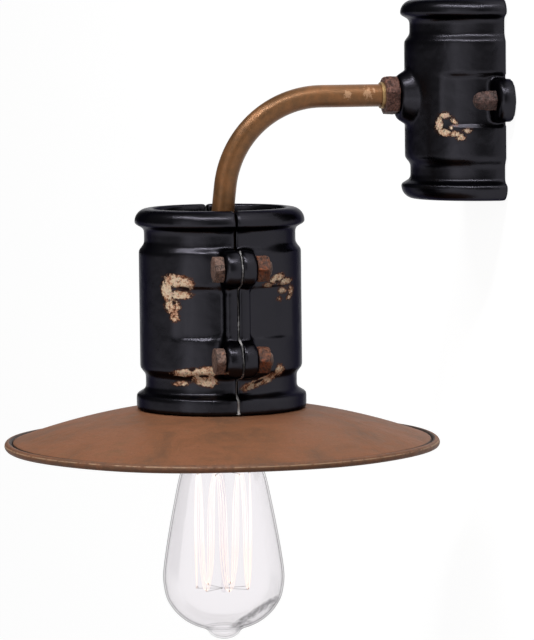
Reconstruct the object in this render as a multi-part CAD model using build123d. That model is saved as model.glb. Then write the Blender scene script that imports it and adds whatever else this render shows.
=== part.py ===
from build123d import *
from math import cos, degrees, pi, radians, sin, sqrt, tan
import os

# Wall light made from two glazed ceramic pipe couplings, a bent tube and a shallow steel shade.
# Millimetres. +Z is up and +X to the right of somebody who faces the wall.
# The wall is the plane y = 0, the lamp stands out along -Y, and the origin lies on the wall
# at the middle of the wall shell.

# ---------------------------------------------------------------- glazed ceramic, both shells
barrel_radius = 43.0          # plain outside between the necks
shell_wall = 8.5              # barrel to the passage through a coupling
neck_depth = 2.9              # barrel to neck
lip_reach = 2.1               # lip beyond the barrel
coupling_height = 106.4
band_height = 62.0            # full-width barrel between the two necks
neck_slope = 3.6              # height over which the barrel draws in to the neck
lip_height = 10.8             # each end, from the neck to the end face
lip_slope = 2.8               # height over which the neck opens to the lip
lip_round = 7.0               # outer rounding of a soft lip
rim_round = 1.5               # inner rounding of every end, and both edges of a square flange
neck_round = 2.4
window_height = 28.0          # shallow recess either side of each joint
window_depth = 1.6
window_slope = 1.3            # height of its sloping edge
window_reach = 50.0           # degrees, measured from the joint
glaze_round = 2.2             # soft edge of lugs and ribs
end_wall = 8.0                # the wall shell is closed above and below
root_inset = 2.0              # lugs, ribs and boss start this far outside the hollow
overlap = 1.0                 # of two forms that are joined, or of a cutter past a face

# lugs
bolt_reach = 7.5              # bolt axes beyond the barrel
lug_spacing = 47.4            # the two lugs on each side of the lamp body
lug_radius = 9.6
lug_thickness = 8.6           # each half
rib_half_width = 6.7          # upright rib that joins the two lugs
rib_height = 4.4              # beyond the barrel
wall_lug_radius = 11.3
wall_lug_thickness = 8.2

# boss that the arm comes out of
boss_root_radius = 15.0
boss_tip_radius = 11.6
boss_length = 5.5             # beyond the barrel
boss_round = 2.6

# ---------------------------------------------------------------- arm
tube_radius = 6.0
tube_wall = 1.5
arm_rise = 2.5                # the hole is drilled a little above the middle of the shell
arm_run = 90.1                # wall to the start of the bend
bend_radius = 52.8
bend_angle = 83.0
ease_radius = 450.0           # the end of the bend is a much larger arc
tail_length = 21.0            # straight threaded end
spot_face_depth = 0.9         # flat inside the shell for the arm's washer
spot_face_gap = 1.5           # round the washer
inner_tail = 9.5              # thread inside the wall shell, behind the spot face

collar_across_flats = 19.0
collar_thickness = 7.5
collar_turn = 10.0
ferrule_width = 1.8
ferrule_thickness = 1.0
nut_across_flats = 18.0
nut_thickness = 4.5
washer_radius = 11.0
washer_thickness = 1.2
tag_thickness = 0.8
tag_width = 7.0
tag_reach = 15.5              # hole of the earth tag, below the tube

# ---------------------------------------------------------------- fasteners
clamp_bolt_radius = 4.0
clamp_across_flats = 13.0
clamp_head_height = 5.3
clamp_nut_height = 6.6
clamp_bolt_spare = 1.6        # thread that shows past the nut
clamp_bolt_chamfer = 0.8
hex_turning = 0.98            # turned face of a hexagon, as a share of its flats
stud_radius = 3.0
stud_chamfer = 0.6
cap_nut_across_flats = 10.0
cap_nut_hex_height = 5.4
cap_nut_height = 12.0
cap_nut_dome_radius = 4.75
cap_nut_wall = 2.4
thread_gap = 0.05             # a nut on its thread
hole_gap = 0.4                # a bolt or tube in a drilled hole
seat_gap = 0.3                # between faces that only rest together
joint_gap = 0.7               # between the two halves of the lamp body

# ---------------------------------------------------------------- wall bracket and terminals
bracket_thickness = 3.0
bracket_half_width = 24.0
bracket_half_height = 38.0
bracket_round = 4.0
strap_half_height = 8.0
strap_margin = 6.5            # strap beyond its studs
fixing_spacing = 60.0
fixing_hole_radius = 2.6
cable_hole_radius = 6.0
cable_hole_drop = 2.0
block_length = 30.0
block_height = 13.0
block_depth = 14.0
block_drop = 20.0             # middle of the block, below the shell's middle
pole_spacing = 10.0
block_round = 1.2
lead_row_share = 0.45         # depth of the leads in the block
terminal_screw_radius = 1.7
terminal_screw_inset = 3.2
terminal_screw_drop = 0.5     # below the block's face
grub_slot_width = 0.6
block_screw_radius = 1.6
earth_screw_radius = 2.0
earth_screw_x = 16.0
earth_screw_height = 19.0
screw_head_height = 2.2
screw_head_ratio = 1.9        # head to shank
screw_slot_width = 0.8
screw_washer_ratio = 2.6      # washer to shank
head_round_share = 0.6        # rounding of a head or button, of its height

# ---------------------------------------------------------------- leads
lead_radius = 1.2
lead_offset = 1.9             # the two leads lie side by side in the tube
lead_entry = 3.0              # lead inside a terminal hole
lead_bend = 6.0
lead_bend_tight = 3.0
lead_bend_holder = 2.4
lead_crossing = 1.9           # lead above the holder's terminals
lead_ease_share = 0.97        # the leads' last bend in the tube is a little tighter
earth_lead_drop = 9.0         # its upper bend, below the tube

# ---------------------------------------------------------------- carrier and lampholder
carrier_thickness = 3.0
carrier_bite = 3.5            # disc in the groove of the body
carrier_above_middle = 1.3    # its underside, above the middle of the lamp body
holder_grip = 8.0             # thread of the tube inside the lampholder cap
holder_cap_wall = 2.4
holder_hub_radius = 9.5
holder_hub_height = 6.0
holder_cap_slope = 6.5
holder_cap_radius = 21.4
holder_cap_height = 26.0
holder_step = 1.0             # small ledges inside the cap and the skirt
holder_fit = 0.25             # cap over skirt, insert in skirt
skirt_flange_height = 3.2
skirt_thread_radius = 19.75
skirt_thread_depth = 0.9
skirt_pitch = 3.0
skirt_bore_radius = 15.4
ridge_slope = 0.35            # each flank of a thread ridge, as a share of the pitch
insert_radius = 16.2
insert_height = 12.0
insert_drop = 17.3            # top of the insert below the top of the cap
insert_chamfer = 0.8
barrier_thickness = 2.0       # wall between the terminals
barrier_share = 0.8           # of the insert's width and the terminals' height
holder_length = 59.8
terminal_size = 5.0
terminal_height = 3.2
terminal_offset = 9.6
pinch_screw_radius = 1.2
pinch_screw_length = 1.8
contact_width = 5.0
contact_thickness = 0.6
contact_window = 7.0          # hole in the top of the screw shell
contact_drop = 5.0            # the bulb's contact, below the insert
contact_inset = 1.0           # leaf inside the window
contact_foot = 3.5            # flat part under the insert
contact_tip = 2.2             # half of the flat part at the bulb
contact_lip = 1.4             # upturned end

# ---------------------------------------------------------------- screw fit of the bulb, E27
cap_crest_radius = 13.1
cap_root_radius = 12.1
cap_pitch = 3.63
cap_skin = 0.4
shell_gap = 0.3
shell_skin = 0.5
shell_length = 25.5
button_radius = 4.8
button_height = 1.4
insulator_height = 4.2
insulator_radius = 10.4
cap_collar_height = 5.2
cap_collar_radius = 13.3
cap_collar_slope = 1.5
cap_top_round = 1.0           # turned-in edge over the insulator
insulator_step = 1.2          # glass round the contact

# ---------------------------------------------------------------- bulb
bulb_length = 140.0
cap_length = 27.0
bulb_radius = 32.3
bulb_wide_height = 32.1       # widest place, above the tip
shoulder_radius = 23.4
shoulder_height = 89.0        # above the tip
flank_radius = 28.9
flank_height = 55.8
neck_glass_radius = 12.3
neck_glass_depth = 3.0        # glass inside the collar of the cap
bottom_radius = 25.9
bottom_height = 15.3
belly_radius = 13.9
belly_height = 8.3
nipple_radius = 3.6
nipple_height = 1.6
glass_wall = 0.9
glass_slant = 0.5             # share of the wall taken off where the glass slopes
stem_radius = 4.0
stem_flare_height = 13.85
stem_straight = 3.15
rod_radius = 1.3
rod_spare = 2.2               # rod beyond the lower hooks
cage_radius = 14.5
cage_below_press = 4.0        # upper hooks below the stem
cage_height = 58.8
cage_loops = 7
filament_radius = 0.25
filament_bend_ratio = 6.0     # bend to wire
support_radius = 0.35

# ---------------------------------------------------------------- shade
shade_radius = 115.7
shade_sphere = 305.0
shade_thickness = 1.2
shade_seat_radius = 46.0
shade_hole_gap = 0.35
rim_bead_radius = 2.0
rim_bead_rise = 0.9           # the bead's middle below the edge of the dome
ring_radius = 27.0
ring_height = 6.6
ring_grips = 12
ring_grip_radius = 2.4

# ---------------------------------------------------------------- places worked out from those
hollow_radius = barrel_radius - shell_wall
neck_radius = barrel_radius - neck_depth
lip_radius = barrel_radius + lip_reach
bolt_offset = barrel_radius + bolt_reach
rib_reach = barrel_radius + rib_height
strap_end = bolt_offset + strap_margin
carrier_radius = hollow_radius + carrier_bite
half_height = coupling_height / 2
cavity_half_height = half_height - end_wall
boss_face = -(barrel_radius + boss_length)
spot_face = -(hollow_radius + spot_face_depth)
root_start = hollow_radius + root_inset
tube_bore = tube_radius - tube_wall
tube_start = spot_face + inner_tail
tube_hole = tube_radius + hole_gap

turn = radians(bend_angle)
bend_end_y = -arm_run - bend_radius * sin(turn)
bend_end_z = arm_rise - bend_radius * (1 - cos(turn))
lamp_y = bend_end_y - ease_radius * (1 - sin(turn))
tail_start_z = bend_end_z - ease_radius * cos(turn)
tip_z = tail_start_z - tail_length

holder_top = tip_z + holder_grip
carrier_bottom = holder_top + nut_thickness
carrier_top = carrier_bottom + carrier_thickness
body_middle = carrier_bottom - carrier_above_middle
body_bottom = body_middle - half_height

insert_top = holder_top - insert_drop
insert_bottom = insert_top - insert_height
contact_z = insert_bottom - contact_drop
bulb_tip = contact_z - bulb_length
shade_top = body_bottom - seat_gap
ring_top = shade_top - shade_thickness - seat_gap
shell_bore = cap_crest_radius + shell_gap
stem_flare_radius = neck_glass_radius - glass_wall - thread_gap
glass_mouth = bulb_length - cap_length + neck_glass_depth
stem_mouth = glass_mouth - overlap
stem_neck = stem_mouth - stem_flare_height
stem_press_top = stem_neck - stem_straight
stem_press = stem_press_top - 2 * stem_radius
cage_top = stem_press - cage_below_press
cage_bottom = cage_top - cage_height

lead_row_y = -bracket_thickness - block_depth * lead_row_share
block_front = -bracket_thickness - block_depth
block_screw_x = pole_spacing / 2


def ring_solid(outer, inner, height):
    """A plain ring standing on z = 0."""
    return base_cylinder(outer, height) - base_cylinder(inner, height)


def base_cylinder(radius, height):
    return Cylinder(radius, height, align=(Align.CENTER, Align.CENTER, Align.MIN))


def turned(points, radii=None):
    """A closed outline of (radius, height) corners, spun round Z, each corner with its rounding."""
    corners = [(r, 0, z) for r, z in points]
    if radii is None:
        outline = Polyline(*corners, close=True)
    else:
        outline = FilletPolyline(*corners, radius=radii, close=True)
    return revolve(make_face(outline), Axis.Z)


def facing_out(solid, x, y, z):
    """Lay a solid built along +Z so that it points away from the wall, along -Y."""
    return Pos(x, y, z) * Rot(90, 0, 0) * solid


def hexagon(across_flats, thickness, chamfer_both=True):
    """A hexagon with turned-off corners, standing on z = 0."""
    corner = across_flats / sqrt(3)
    blank = extrude(RegularPolygon(across_flats / 2, 6, major_radius=False), thickness)
    ease = corner - hex_turning * across_flats / 2
    low = ease / 2 if chamfer_both else 0
    high = thickness - ease / 2
    limit = [(0, 0), (corner - (ease if low else 0), 0), (corner, low), (corner, high),
             (corner - ease, thickness), (0, thickness)]
    if not low:
        limit.pop(2)
    return blank & turned(limit)


def hex_nut(across_flats, thickness, bore):
    return hexagon(across_flats, thickness) - base_cylinder(bore, thickness)


# ================================================================ ceramic shells
def coupling_half_outline(end_round):
    """Corners and roundings from the middle of the barrel up to one end face."""
    band = band_height / 2
    under = half_height - lip_height
    corners = [
        (barrel_radius, band, neck_round),
        (neck_radius, band + neck_slope, neck_round),
        (neck_radius, under, neck_round),
        (lip_radius, under + lip_slope, rim_round),
        (lip_radius, half_height, end_round),
        (hollow_radius, half_height, rim_round),
    ]
    return corners


def coupling(top_round, bottom_round):
    """The whole turned coupling, middle at z = 0, before it is cut in two."""
    top = coupling_half_outline(top_round)
    bottom = [(r, -z, rounding) for r, z, rounding in coupling_half_outline(bottom_round)]
    corners = top + bottom[::-1]
    return turned([(r, z) for r, z, _ in corners], [rounding for _, _, rounding in corners])


def window(side):
    """Shallow recess across the joint on the +X (side 1) or -X (side -1) flank."""
    floor_radius = barrel_radius - window_depth
    half = window_height / 2
    far = barrel_radius + window_slope
    corners = [(floor_radius, 0, -half + window_slope), (far, 0, -half - window_slope),
               (far, 0, half + window_slope), (floor_radius, 0, half - window_slope)]
    cutter = revolve(make_face(Polyline(*corners, close=True)), Axis.Z, 2 * window_reach)
    return Rot(0, 0, -window_reach + (0 if side > 0 else 180)) * cutter


def lug(side, height, radius, thickness):
    """A round lug along Y with its root carried into the barrel; y from 0 to -thickness."""
    root_length = bolt_offset - root_start
    outline = Pos(bolt_offset, 0) * Circle(radius)
    outline += Pos(root_start + root_length / 2, 0) * Rectangle(root_length, 2 * radius)
    blank = extrude(outline, thickness)
    rim = blank.edges().group_by(Axis.Z)[-1].filter_by(lambda e: e.center().X > root_start + overlap)
    blank = fillet(rim, glaze_round)
    if side < 0:
        blank = mirror(blank, Plane.YZ)
    return facing_out(blank, 0, 0, height)


def body_half():
    """The half of the lamp body on the -Y side, with its middle at the origin."""
    shell = coupling(lip_round, rim_round)
    for side in (1, -1):
        shell -= window(side)
    keep = Pos(0, -joint_gap / 2, 0) * Box(
        4 * lip_radius, 2 * lip_radius, 2 * coupling_height,
        align=(Align.CENTER, Align.MAX, Align.CENTER))
    shell = shell & keep
    for side in (1, -1):
        rib_depth = rib_reach - root_start
        rib = Pos(side * (rib_reach - rib_depth / 2), -rib_half_width / 2, 0) * Box(
            rib_depth, rib_half_width, lug_spacing)
        corner = rib.edges().filter_by(Axis.Z).sort_by(lambda e: abs(e.center().X) - e.center().Y)[-1:]
        group = fillet(corner, glaze_round)
        for height in (lug_spacing / 2, -lug_spacing / 2):
            group += lug(side, height, lug_radius, lug_thickness)
        shell += group & keep
    for side in (1, -1):
        for height in (lug_spacing / 2, -lug_spacing / 2):
            shell -= facing_out(base_cylinder(clamp_bolt_radius + hole_gap, 2 * lug_thickness),
                                side * bolt_offset, lug_thickness / 2, height)
    groove = base_cylinder(carrier_radius + seat_gap, carrier_thickness + 2 * seat_gap)
    shell -= Pos(0, 0, carrier_bottom - body_middle - seat_gap) * groove
    return shell


def place_on_lamp(solid, z=0.0):
    return Pos(0, lamp_y, z) * solid


def body_front():
    return place_on_lamp(body_half(), body_middle)


def body_rear():
    return place_on_lamp(mirror(body_half(), Plane.XZ), body_middle)


def wall_shell():
    shell = coupling(lip_round, lip_round)
    end_cap = Pos(0, 0, cavity_half_height) * base_cylinder(hollow_radius + overlap, end_wall)
    shell += end_cap
    shell += mirror(end_cap, Plane.XY)
    for side in (1, -1):
        shell -= window(side)
    keep = Box(4 * lip_radius, 2 * lip_radius, 2 * coupling_height,
               align=(Align.CENTER, Align.MAX, Align.CENTER))
    shell = shell & keep
    for side in (1, -1):
        shell += lug(side, 0, wall_lug_radius, wall_lug_thickness)
    shell += arm_boss()
    hollow = Cylinder(hollow_radius, 2 * cavity_half_height)
    shell -= hollow
    shell -= facing_out(base_cylinder(washer_radius + spot_face_gap, -spot_face), 0, 0, arm_rise)
    shell -= facing_out(base_cylinder(tube_hole, -boss_face + overlap), 0, 0, arm_rise)
    for side in (1, -1):
        shell -= facing_out(base_cylinder(stud_radius + hole_gap, wall_lug_thickness),
                            side * bolt_offset, 0, 0)
    channel = Box(2 * (strap_end + seat_gap), bracket_thickness + seat_gap,
                  2 * (strap_half_height + seat_gap), align=(Align.CENTER, Align.MAX, Align.CENTER))
    shell -= channel
    return shell


def arm_boss():
    """Rounded stub on the front of the wall shell, with its face square to the arm."""
    height = -boss_face - root_start
    slope = (boss_root_radius - boss_tip_radius) / boss_length
    foot_radius = boss_root_radius + slope * (barrel_radius - root_start)
    stub = Cone(foot_radius, boss_tip_radius, height, align=(Align.CENTER, Align.CENTER, Align.MIN))
    stub = fillet(stub.edges().sort_by(Axis.Z)[-1:], boss_round)
    return facing_out(stub, 0, -root_start, arm_rise / 2)


# ================================================================ arm and its fastenings
def arm_path():
    """Centre line: out of the wall, round the bend, round the long ease, and down the tail."""
    start = (0, tube_start, arm_rise)
    bend_start = (0, -arm_run, arm_rise)
    half = turn / 2
    bend_mid = (0, -arm_run - bend_radius * sin(half), arm_rise - bend_radius * (1 - cos(half)))
    bend_end = (0, bend_end_y, bend_end_z)
    mid = (turn + pi / 2) / 2
    ease_mid = (0, bend_end_y - ease_radius * (sin(mid) - sin(turn)),
                bend_end_z - ease_radius * (cos(turn) - cos(mid)))
    ease_end = (0, lamp_y, tail_start_z)
    tip = (0, lamp_y, tip_z)
    return Wire([
        Line(start, bend_start).edge(),
        ThreePointArc(bend_start, bend_mid, bend_end).edge(),
        ThreePointArc(bend_end, ease_mid, ease_end).edge(),
        Line(ease_end, tip).edge(),
    ])


def arm_tube():
    mouth = Plane(origin=(0, tube_start, arm_rise), z_dir=(0, -1, 0))
    section = mouth * (Circle(tube_radius) - Circle(tube_bore))
    return sweep(section, arm_path())


def arm_collar():
    nut = hex_nut(collar_across_flats, collar_thickness, tube_radius + thread_gap)
    return facing_out(Rot(0, 0, collar_turn) * nut, 0, boss_face, arm_rise)


def arm_ferrule():
    ring = ring_solid(tube_radius + ferrule_thickness, tube_radius + thread_gap, ferrule_width)
    return facing_out(ring, 0, boss_face - collar_thickness, arm_rise)


def arm_washer():
    ring = ring_solid(washer_radius, tube_radius + hole_gap / 2, washer_thickness)
    return facing_out(ring, 0, spot_face + washer_thickness, arm_rise)


def earth_tag():
    """Flat ring under the inner locknut with a tongue that the earth lead is crimped into."""
    ring = base_cylinder(washer_radius - 1, tag_thickness)
    tongue = Pos(0, -tag_reach / 2, 0) * Box(tag_width, tag_reach + tag_width / 2, tag_thickness,
                                             align=(Align.CENTER, Align.CENTER, Align.MIN))
    blank = ring + tongue
    blank -= base_cylinder(tube_radius + hole_gap / 2, tag_thickness)
    return facing_out(blank, 0, spot_face + washer_thickness + tag_thickness, arm_rise)


def arm_locknut():
    nut = hex_nut(nut_across_flats, nut_thickness, tube_radius + thread_gap)
    back = spot_face + washer_thickness + tag_thickness + nut_thickness
    return facing_out(nut, 0, back, arm_rise)


# ================================================================ wall fixing and terminals
def wall_bracket():
    """Pressed plate with a wide middle and two arms that lie in the shell's channel."""
    plate = Rectangle(2 * bracket_half_width, 2 * bracket_half_height)
    plate = fillet(plate.vertices(), bracket_round)
    strap = Rectangle(2 * strap_end, 2 * strap_half_height)
    strap = fillet(strap.vertices(), bracket_round)
    blank = extrude(plate + strap, bracket_thickness)
    for z in (fixing_spacing / 2, -fixing_spacing / 2):
        blank -= Pos(0, z, 0) * base_cylinder(fixing_hole_radius, bracket_thickness)
    for x in (bolt_offset, -bolt_offset):
        blank -= Pos(x, 0, 0) * base_cylinder(stud_radius + thread_gap, bracket_thickness)
    blank -= Pos(0, -cable_hole_drop, 0) * base_cylinder(cable_hole_radius, bracket_thickness)
    blank -= Pos(block_screw_x, -block_drop, 0) * base_cylinder(
        block_screw_radius + thread_gap, bracket_thickness)
    blank -= Pos(earth_screw_x, earth_screw_height, 0) * base_cylinder(
        earth_screw_radius + thread_gap, bracket_thickness)
    return facing_out(blank, 0, 0, 0)


def wall_studs():
    """Two studs fixed in the bracket; each runs through a lug into its cap nut."""
    length = wall_lug_thickness + cap_nut_height - cap_nut_wall - overlap
    stud = base_cylinder(stud_radius, length)
    stud = chamfer(stud.edges().sort_by(Axis.Z)[-1:], stud_chamfer)
    return Compound([facing_out(stud, x, 0, 0) for x in (bolt_offset, -bolt_offset)])


def cap_nut():
    """Hexagon with a domed end and a blind thread, standing on z = 0."""
    base = hexagon(cap_nut_across_flats, cap_nut_hex_height, chamfer_both=False)
    dome_z = cap_nut_height - cap_nut_dome_radius
    barrel = base_cylinder(cap_nut_dome_radius, dome_z)
    dome = Pos(0, 0, dome_z) * Sphere(cap_nut_dome_radius)
    cut = base_cylinder(stud_radius + thread_gap, cap_nut_height - cap_nut_wall)
    return base + barrel + dome - cut


def wall_cap_nuts():
    nut = cap_nut()
    return Compound([facing_out(nut, x, -wall_lug_thickness, 0) for x in (bolt_offset, -bolt_offset)])


def pole_places():
    return [-pole_spacing, 0, pole_spacing]


def terminal_block():
    """Three-way block; a lead enters each pole from above and the supply from below."""
    block = Box(block_length, block_depth, block_height)
    block = fillet(block.edges().filter_by(Axis.Y), block_round)
    block = Pos(0, -bracket_thickness - block_depth / 2, -block_drop) * block
    for x in pole_places():
        block -= Pos(x, lead_row_y, -block_drop) * Cylinder(lead_radius + hole_gap, block_height)
        for z in (terminal_screw_inset, -terminal_screw_inset):
            bore = base_cylinder(terminal_screw_radius + thread_gap, lead_row_y - block_front)
            block -= facing_out(bore, x, lead_row_y, -block_drop + z)
    hole = base_cylinder(block_screw_radius + thread_gap, block_depth)
    block -= facing_out(hole, block_screw_x, -bracket_thickness, -block_drop)
    return block


def terminal_screws():
    """Grub screws of the block, each just short of its lead."""
    length = lead_row_y - lead_radius - thread_gap - block_front - terminal_screw_drop
    screw = base_cylinder(terminal_screw_radius, length)
    screw -= Pos(0, 0, length) * Box(4 * terminal_screw_radius, grub_slot_width, 2 * grub_slot_width)
    start = lead_row_y - lead_radius - thread_gap
    return Compound([
        facing_out(screw, x, start, -block_drop + z)
        for x in pole_places()
        for z in (terminal_screw_inset, -terminal_screw_inset)
    ])


def pan_screw(radius, length):
    """Round-headed screw, shank from z = 0 to length, slotted head beyond it."""
    head_radius = screw_head_ratio * radius
    head = base_cylinder(head_radius, screw_head_height)
    head = fillet(head.edges().sort_by(Axis.Z)[-1:], screw_head_height * head_round_share)
    head -= Pos(0, 0, screw_head_height) * Box(4 * head_radius, screw_slot_width, 2 * screw_slot_width)
    return base_cylinder(radius, length) + Pos(0, 0, length) * head


def block_screw():
    length = bracket_thickness + block_depth
    screw = pan_screw(block_screw_radius, length)
    return facing_out(screw, block_screw_x, 0, -block_drop)


def earth_screw():
    length = bracket_thickness + washer_thickness
    screw = pan_screw(earth_screw_radius, length)
    return facing_out(screw, earth_screw_x, 0, earth_screw_height)


def earth_washer():
    """Cupped washer that holds the supply's earth under the screw."""
    outer = screw_washer_ratio * earth_screw_radius
    ring = ring_solid(outer, earth_screw_radius + thread_gap, washer_thickness)
    return facing_out(ring, earth_screw_x, -bracket_thickness, earth_screw_height)


# ================================================================ leads
def lead(points, radii):
    """Round insulated lead along straight runs joined by tangent arcs."""
    path = FilletPolyline(*points, radius=radii)
    start = Plane(origin=path @ 0, z_dir=path % 0)
    return sweep(start * Circle(lead_radius), path)


def tube_corners(x):
    """The two corners that the arm's centre line cuts with its arcs."""
    bend_corner = (x, -arm_run - bend_radius * tan(turn / 2), arm_rise)
    ease_corner = (x, lamp_y, tail_start_z + ease_radius * tan((pi / 2 - turn) / 2))
    return [bend_corner, ease_corner]


def main_lead(side):
    """Live or neutral: terminal block, arm, lampholder terminal."""
    pole_x = side * pole_spacing
    tube_x = side * lead_offset
    holder_x = side * terminal_offset
    block_top = -block_drop + block_height / 2
    terminal_top = insert_top + terminal_height
    points = [
        (pole_x, lead_row_y, block_top - lead_entry),
        (pole_x, lead_row_y, arm_rise),
        (tube_x, tube_start - tube_bore / 2, arm_rise),
        *tube_corners(tube_x),
        (tube_x, lamp_y, tip_z - lead_radius),
        (holder_x, lamp_y, terminal_top + lead_crossing),
        (holder_x, lamp_y, insert_top + terminal_height / 2),
    ]
    radii = [lead_bend, lead_bend, bend_radius, lead_ease_share * ease_radius, lead_bend_holder,
             lead_bend_holder]
    return lead(points, radii)


def earth_lead():
    """From the middle pole to the tag under the arm's locknut."""
    block_top = -block_drop + block_height / 2
    tag_face = spot_face + washer_thickness + tag_thickness
    tag_z = arm_rise - tag_reach
    points = [
        (0, lead_row_y, block_top - lead_entry),
        (0, lead_row_y, arm_rise - earth_lead_drop),
        (0, tag_face + lead_bend, tag_z),
        (0, tag_face, tag_z),
    ]
    return lead(points, [lead_bend_tight, lead_bend])


# ================================================================ carrier and lampholder
def carrier_disc():
    """Steel disc in the groove of both halves; the body hangs on it and it hangs on the tube."""
    disc = ring_solid(carrier_radius, tube_radius + hole_gap, carrier_thickness)
    return place_on_lamp(disc, carrier_bottom)


def tail_nuts():
    nut = hex_nut(nut_across_flats, nut_thickness, tube_radius + thread_gap)
    return Compound([place_on_lamp(nut, z) for z in (holder_top, carrier_top)])


def holder_cap():
    neck = tube_radius + thread_gap
    floor = holder_hub_height + holder_cap_wall
    corners = [
        (neck, 0),
        (holder_hub_radius, 0),
        (holder_hub_radius, -holder_hub_height),
        (holder_cap_radius, -holder_hub_height - holder_cap_slope),
        (holder_cap_radius, -holder_cap_height),
        (holder_cap_radius - holder_cap_wall, -holder_cap_height),
        (holder_cap_radius - holder_cap_wall, -floor - holder_cap_slope),
        (holder_hub_radius - holder_step, -floor),
        (neck, -floor),
    ]
    return place_on_lamp(turned(corners), holder_top)


def thread_ridges(crest, root, pitch, top, bottom):
    """Corners of a row of round-topped ridges, from the top down, as (radius, height)."""
    count = int((top - bottom) / pitch)
    corners = []
    for n in range(count):
        z = top - n * pitch
        corners.append((root, z))
        corners.append((crest, z - pitch * ridge_slope))
        corners.append((crest, z - pitch * (1 - ridge_slope)))
    corners.append((root, top - count * pitch))
    return corners


def holder_skirt():
    """Threaded sleeve of the lampholder, with the ledge that carries the insert."""
    upper = holder_cap_radius - holder_cap_wall - holder_fit
    flange_top = -holder_cap_height - seat_gap
    flange_bottom = flange_top - skirt_flange_height
    top = insert_top - holder_top + holder_step
    ledge = insert_bottom - holder_top
    root = skirt_thread_radius - skirt_thread_depth
    corners = [
        (upper, top),
        (upper, flange_top),
        (holder_cap_radius, flange_top),
        (holder_cap_radius, flange_bottom),
        *thread_ridges(skirt_thread_radius, root, skirt_pitch, flange_bottom, -holder_length + holder_step),
        (root, -holder_length),
        (skirt_bore_radius, -holder_length),
        (skirt_bore_radius, ledge),
        (insert_radius + holder_fit, ledge),
        (insert_radius + holder_fit, top),
    ]
    return place_on_lamp(turned(corners), holder_top)


def holder_insert():
    """Ceramic puck that keeps the two terminals apart."""
    puck = base_cylinder(insert_radius, insert_height)
    puck = chamfer(puck.edges().sort_by(Axis.Z)[-1:], insert_chamfer)
    barrier = Pos(0, 0, insert_height) * Box(
        barrier_thickness, 2 * insert_radius * barrier_share, terminal_height * barrier_share,
        align=(Align.CENTER, Align.CENTER, Align.MIN))
    puck += barrier
    return place_on_lamp(puck, insert_bottom)


def holder_terminals():
    """Brass blocks on the insert, each with a hole for its lead and a clamping screw."""
    block = Box(terminal_size, terminal_size, terminal_height, align=(Align.CENTER, Align.CENTER, Align.MIN))
    block -= base_cylinder(lead_radius + hole_gap, terminal_height)
    screw = Pos(terminal_size / 2, 0, terminal_height / 2) * Rot(0, 90, 0) * base_cylinder(
        pinch_screw_radius, pinch_screw_length)
    right = Pos(terminal_offset, 0, 0) * (block + screw)
    left = Rot(0, 0, 180) * right
    return Compound([place_on_lamp(one, insert_top) for one in (right, left)])


def screw_shell():
    """Female thread of the lampholder, pressed from thin brass, with a turned-in top."""
    crest = shell_bore
    root = shell_bore + cap_crest_radius - cap_root_radius
    inner = thread_ridges(root, crest, cap_pitch, -shell_skin, -shell_length + shell_skin)
    outer = [(r + shell_skin, z) for r, z in inner]
    corners = [(contact_window, 0), (crest + shell_skin, 0), *outer, (crest + shell_skin, -shell_length),
               (crest, -shell_length), *inner[::-1], (crest, -shell_skin), (contact_window, -shell_skin)]
    return place_on_lamp(turned(tidy_outline(corners)), insert_bottom)


def tidy_outline(corners):
    """Drop a corner that repeats the one before it."""
    kept = []
    for corner in corners:
        if not kept or abs(corner[0] - kept[-1][0]) + abs(corner[1] - kept[-1][1]) > 1e-6:
            kept.append(corner)
    return kept


def centre_contact():
    """Sprung leaf under the insert; its tip stands just clear of the bulb's button."""
    far = contact_window - contact_inset
    drop = contact_drop - seat_gap - contact_thickness
    top_line = [(-far, 0), (-far + contact_foot, 0), (0, -drop), (contact_tip, -drop),
                (contact_tip + contact_lip, -drop + contact_lip)]
    low_line = [(x, z - contact_thickness) for x, z in top_line]
    corners = [(x, 0, z) for x, z in top_line + low_line[::-1]]
    leaf = extrude(make_face(Polyline(*corners, close=True)), contact_width / 2, dir=(0, 1, 0), both=True)
    return place_on_lamp(leaf, insert_bottom)


# ================================================================ bulb
def contact_button():
    button = base_cylinder(button_radius, button_height)
    button = fillet(button.edges().sort_by(Axis.Z)[-1:], button_height * head_round_share)
    return place_on_lamp(button, contact_z - button_height)


def cap_insulator():
    top = -button_height
    bottom = top - insulator_height
    corners = [(0, top), (button_radius + insulator_step, top), (insulator_radius, bottom), (0, bottom)]
    return place_on_lamp(turned(corners), contact_z)


def bulb_cap():
    """Screw cap: turned-in top edge, rounded thread and a plain collar round the glass."""
    top = -button_height - insulator_height
    collar_top = -cap_length + cap_collar_height
    ridges = thread_ridges(cap_crest_radius, cap_root_radius, cap_pitch, top - cap_top_round,
                           collar_top)
    outer = [(insulator_radius - cap_top_round, top), (cap_root_radius, top), *ridges,
             (cap_root_radius, collar_top), (cap_collar_radius, collar_top - cap_collar_slope),
             (cap_collar_radius, -cap_length)]
    inner_collar = neck_glass_radius + hole_gap / 2
    inner = [(inner_collar, -cap_length), (inner_collar, collar_top - cap_collar_slope),
             (cap_root_radius - cap_skin, collar_top), (cap_root_radius - cap_skin, top - cap_skin),
             (insulator_radius - cap_top_round, top - cap_skin)]
    return place_on_lamp(turned(tidy_outline(outer + inner)), contact_z)


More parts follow.
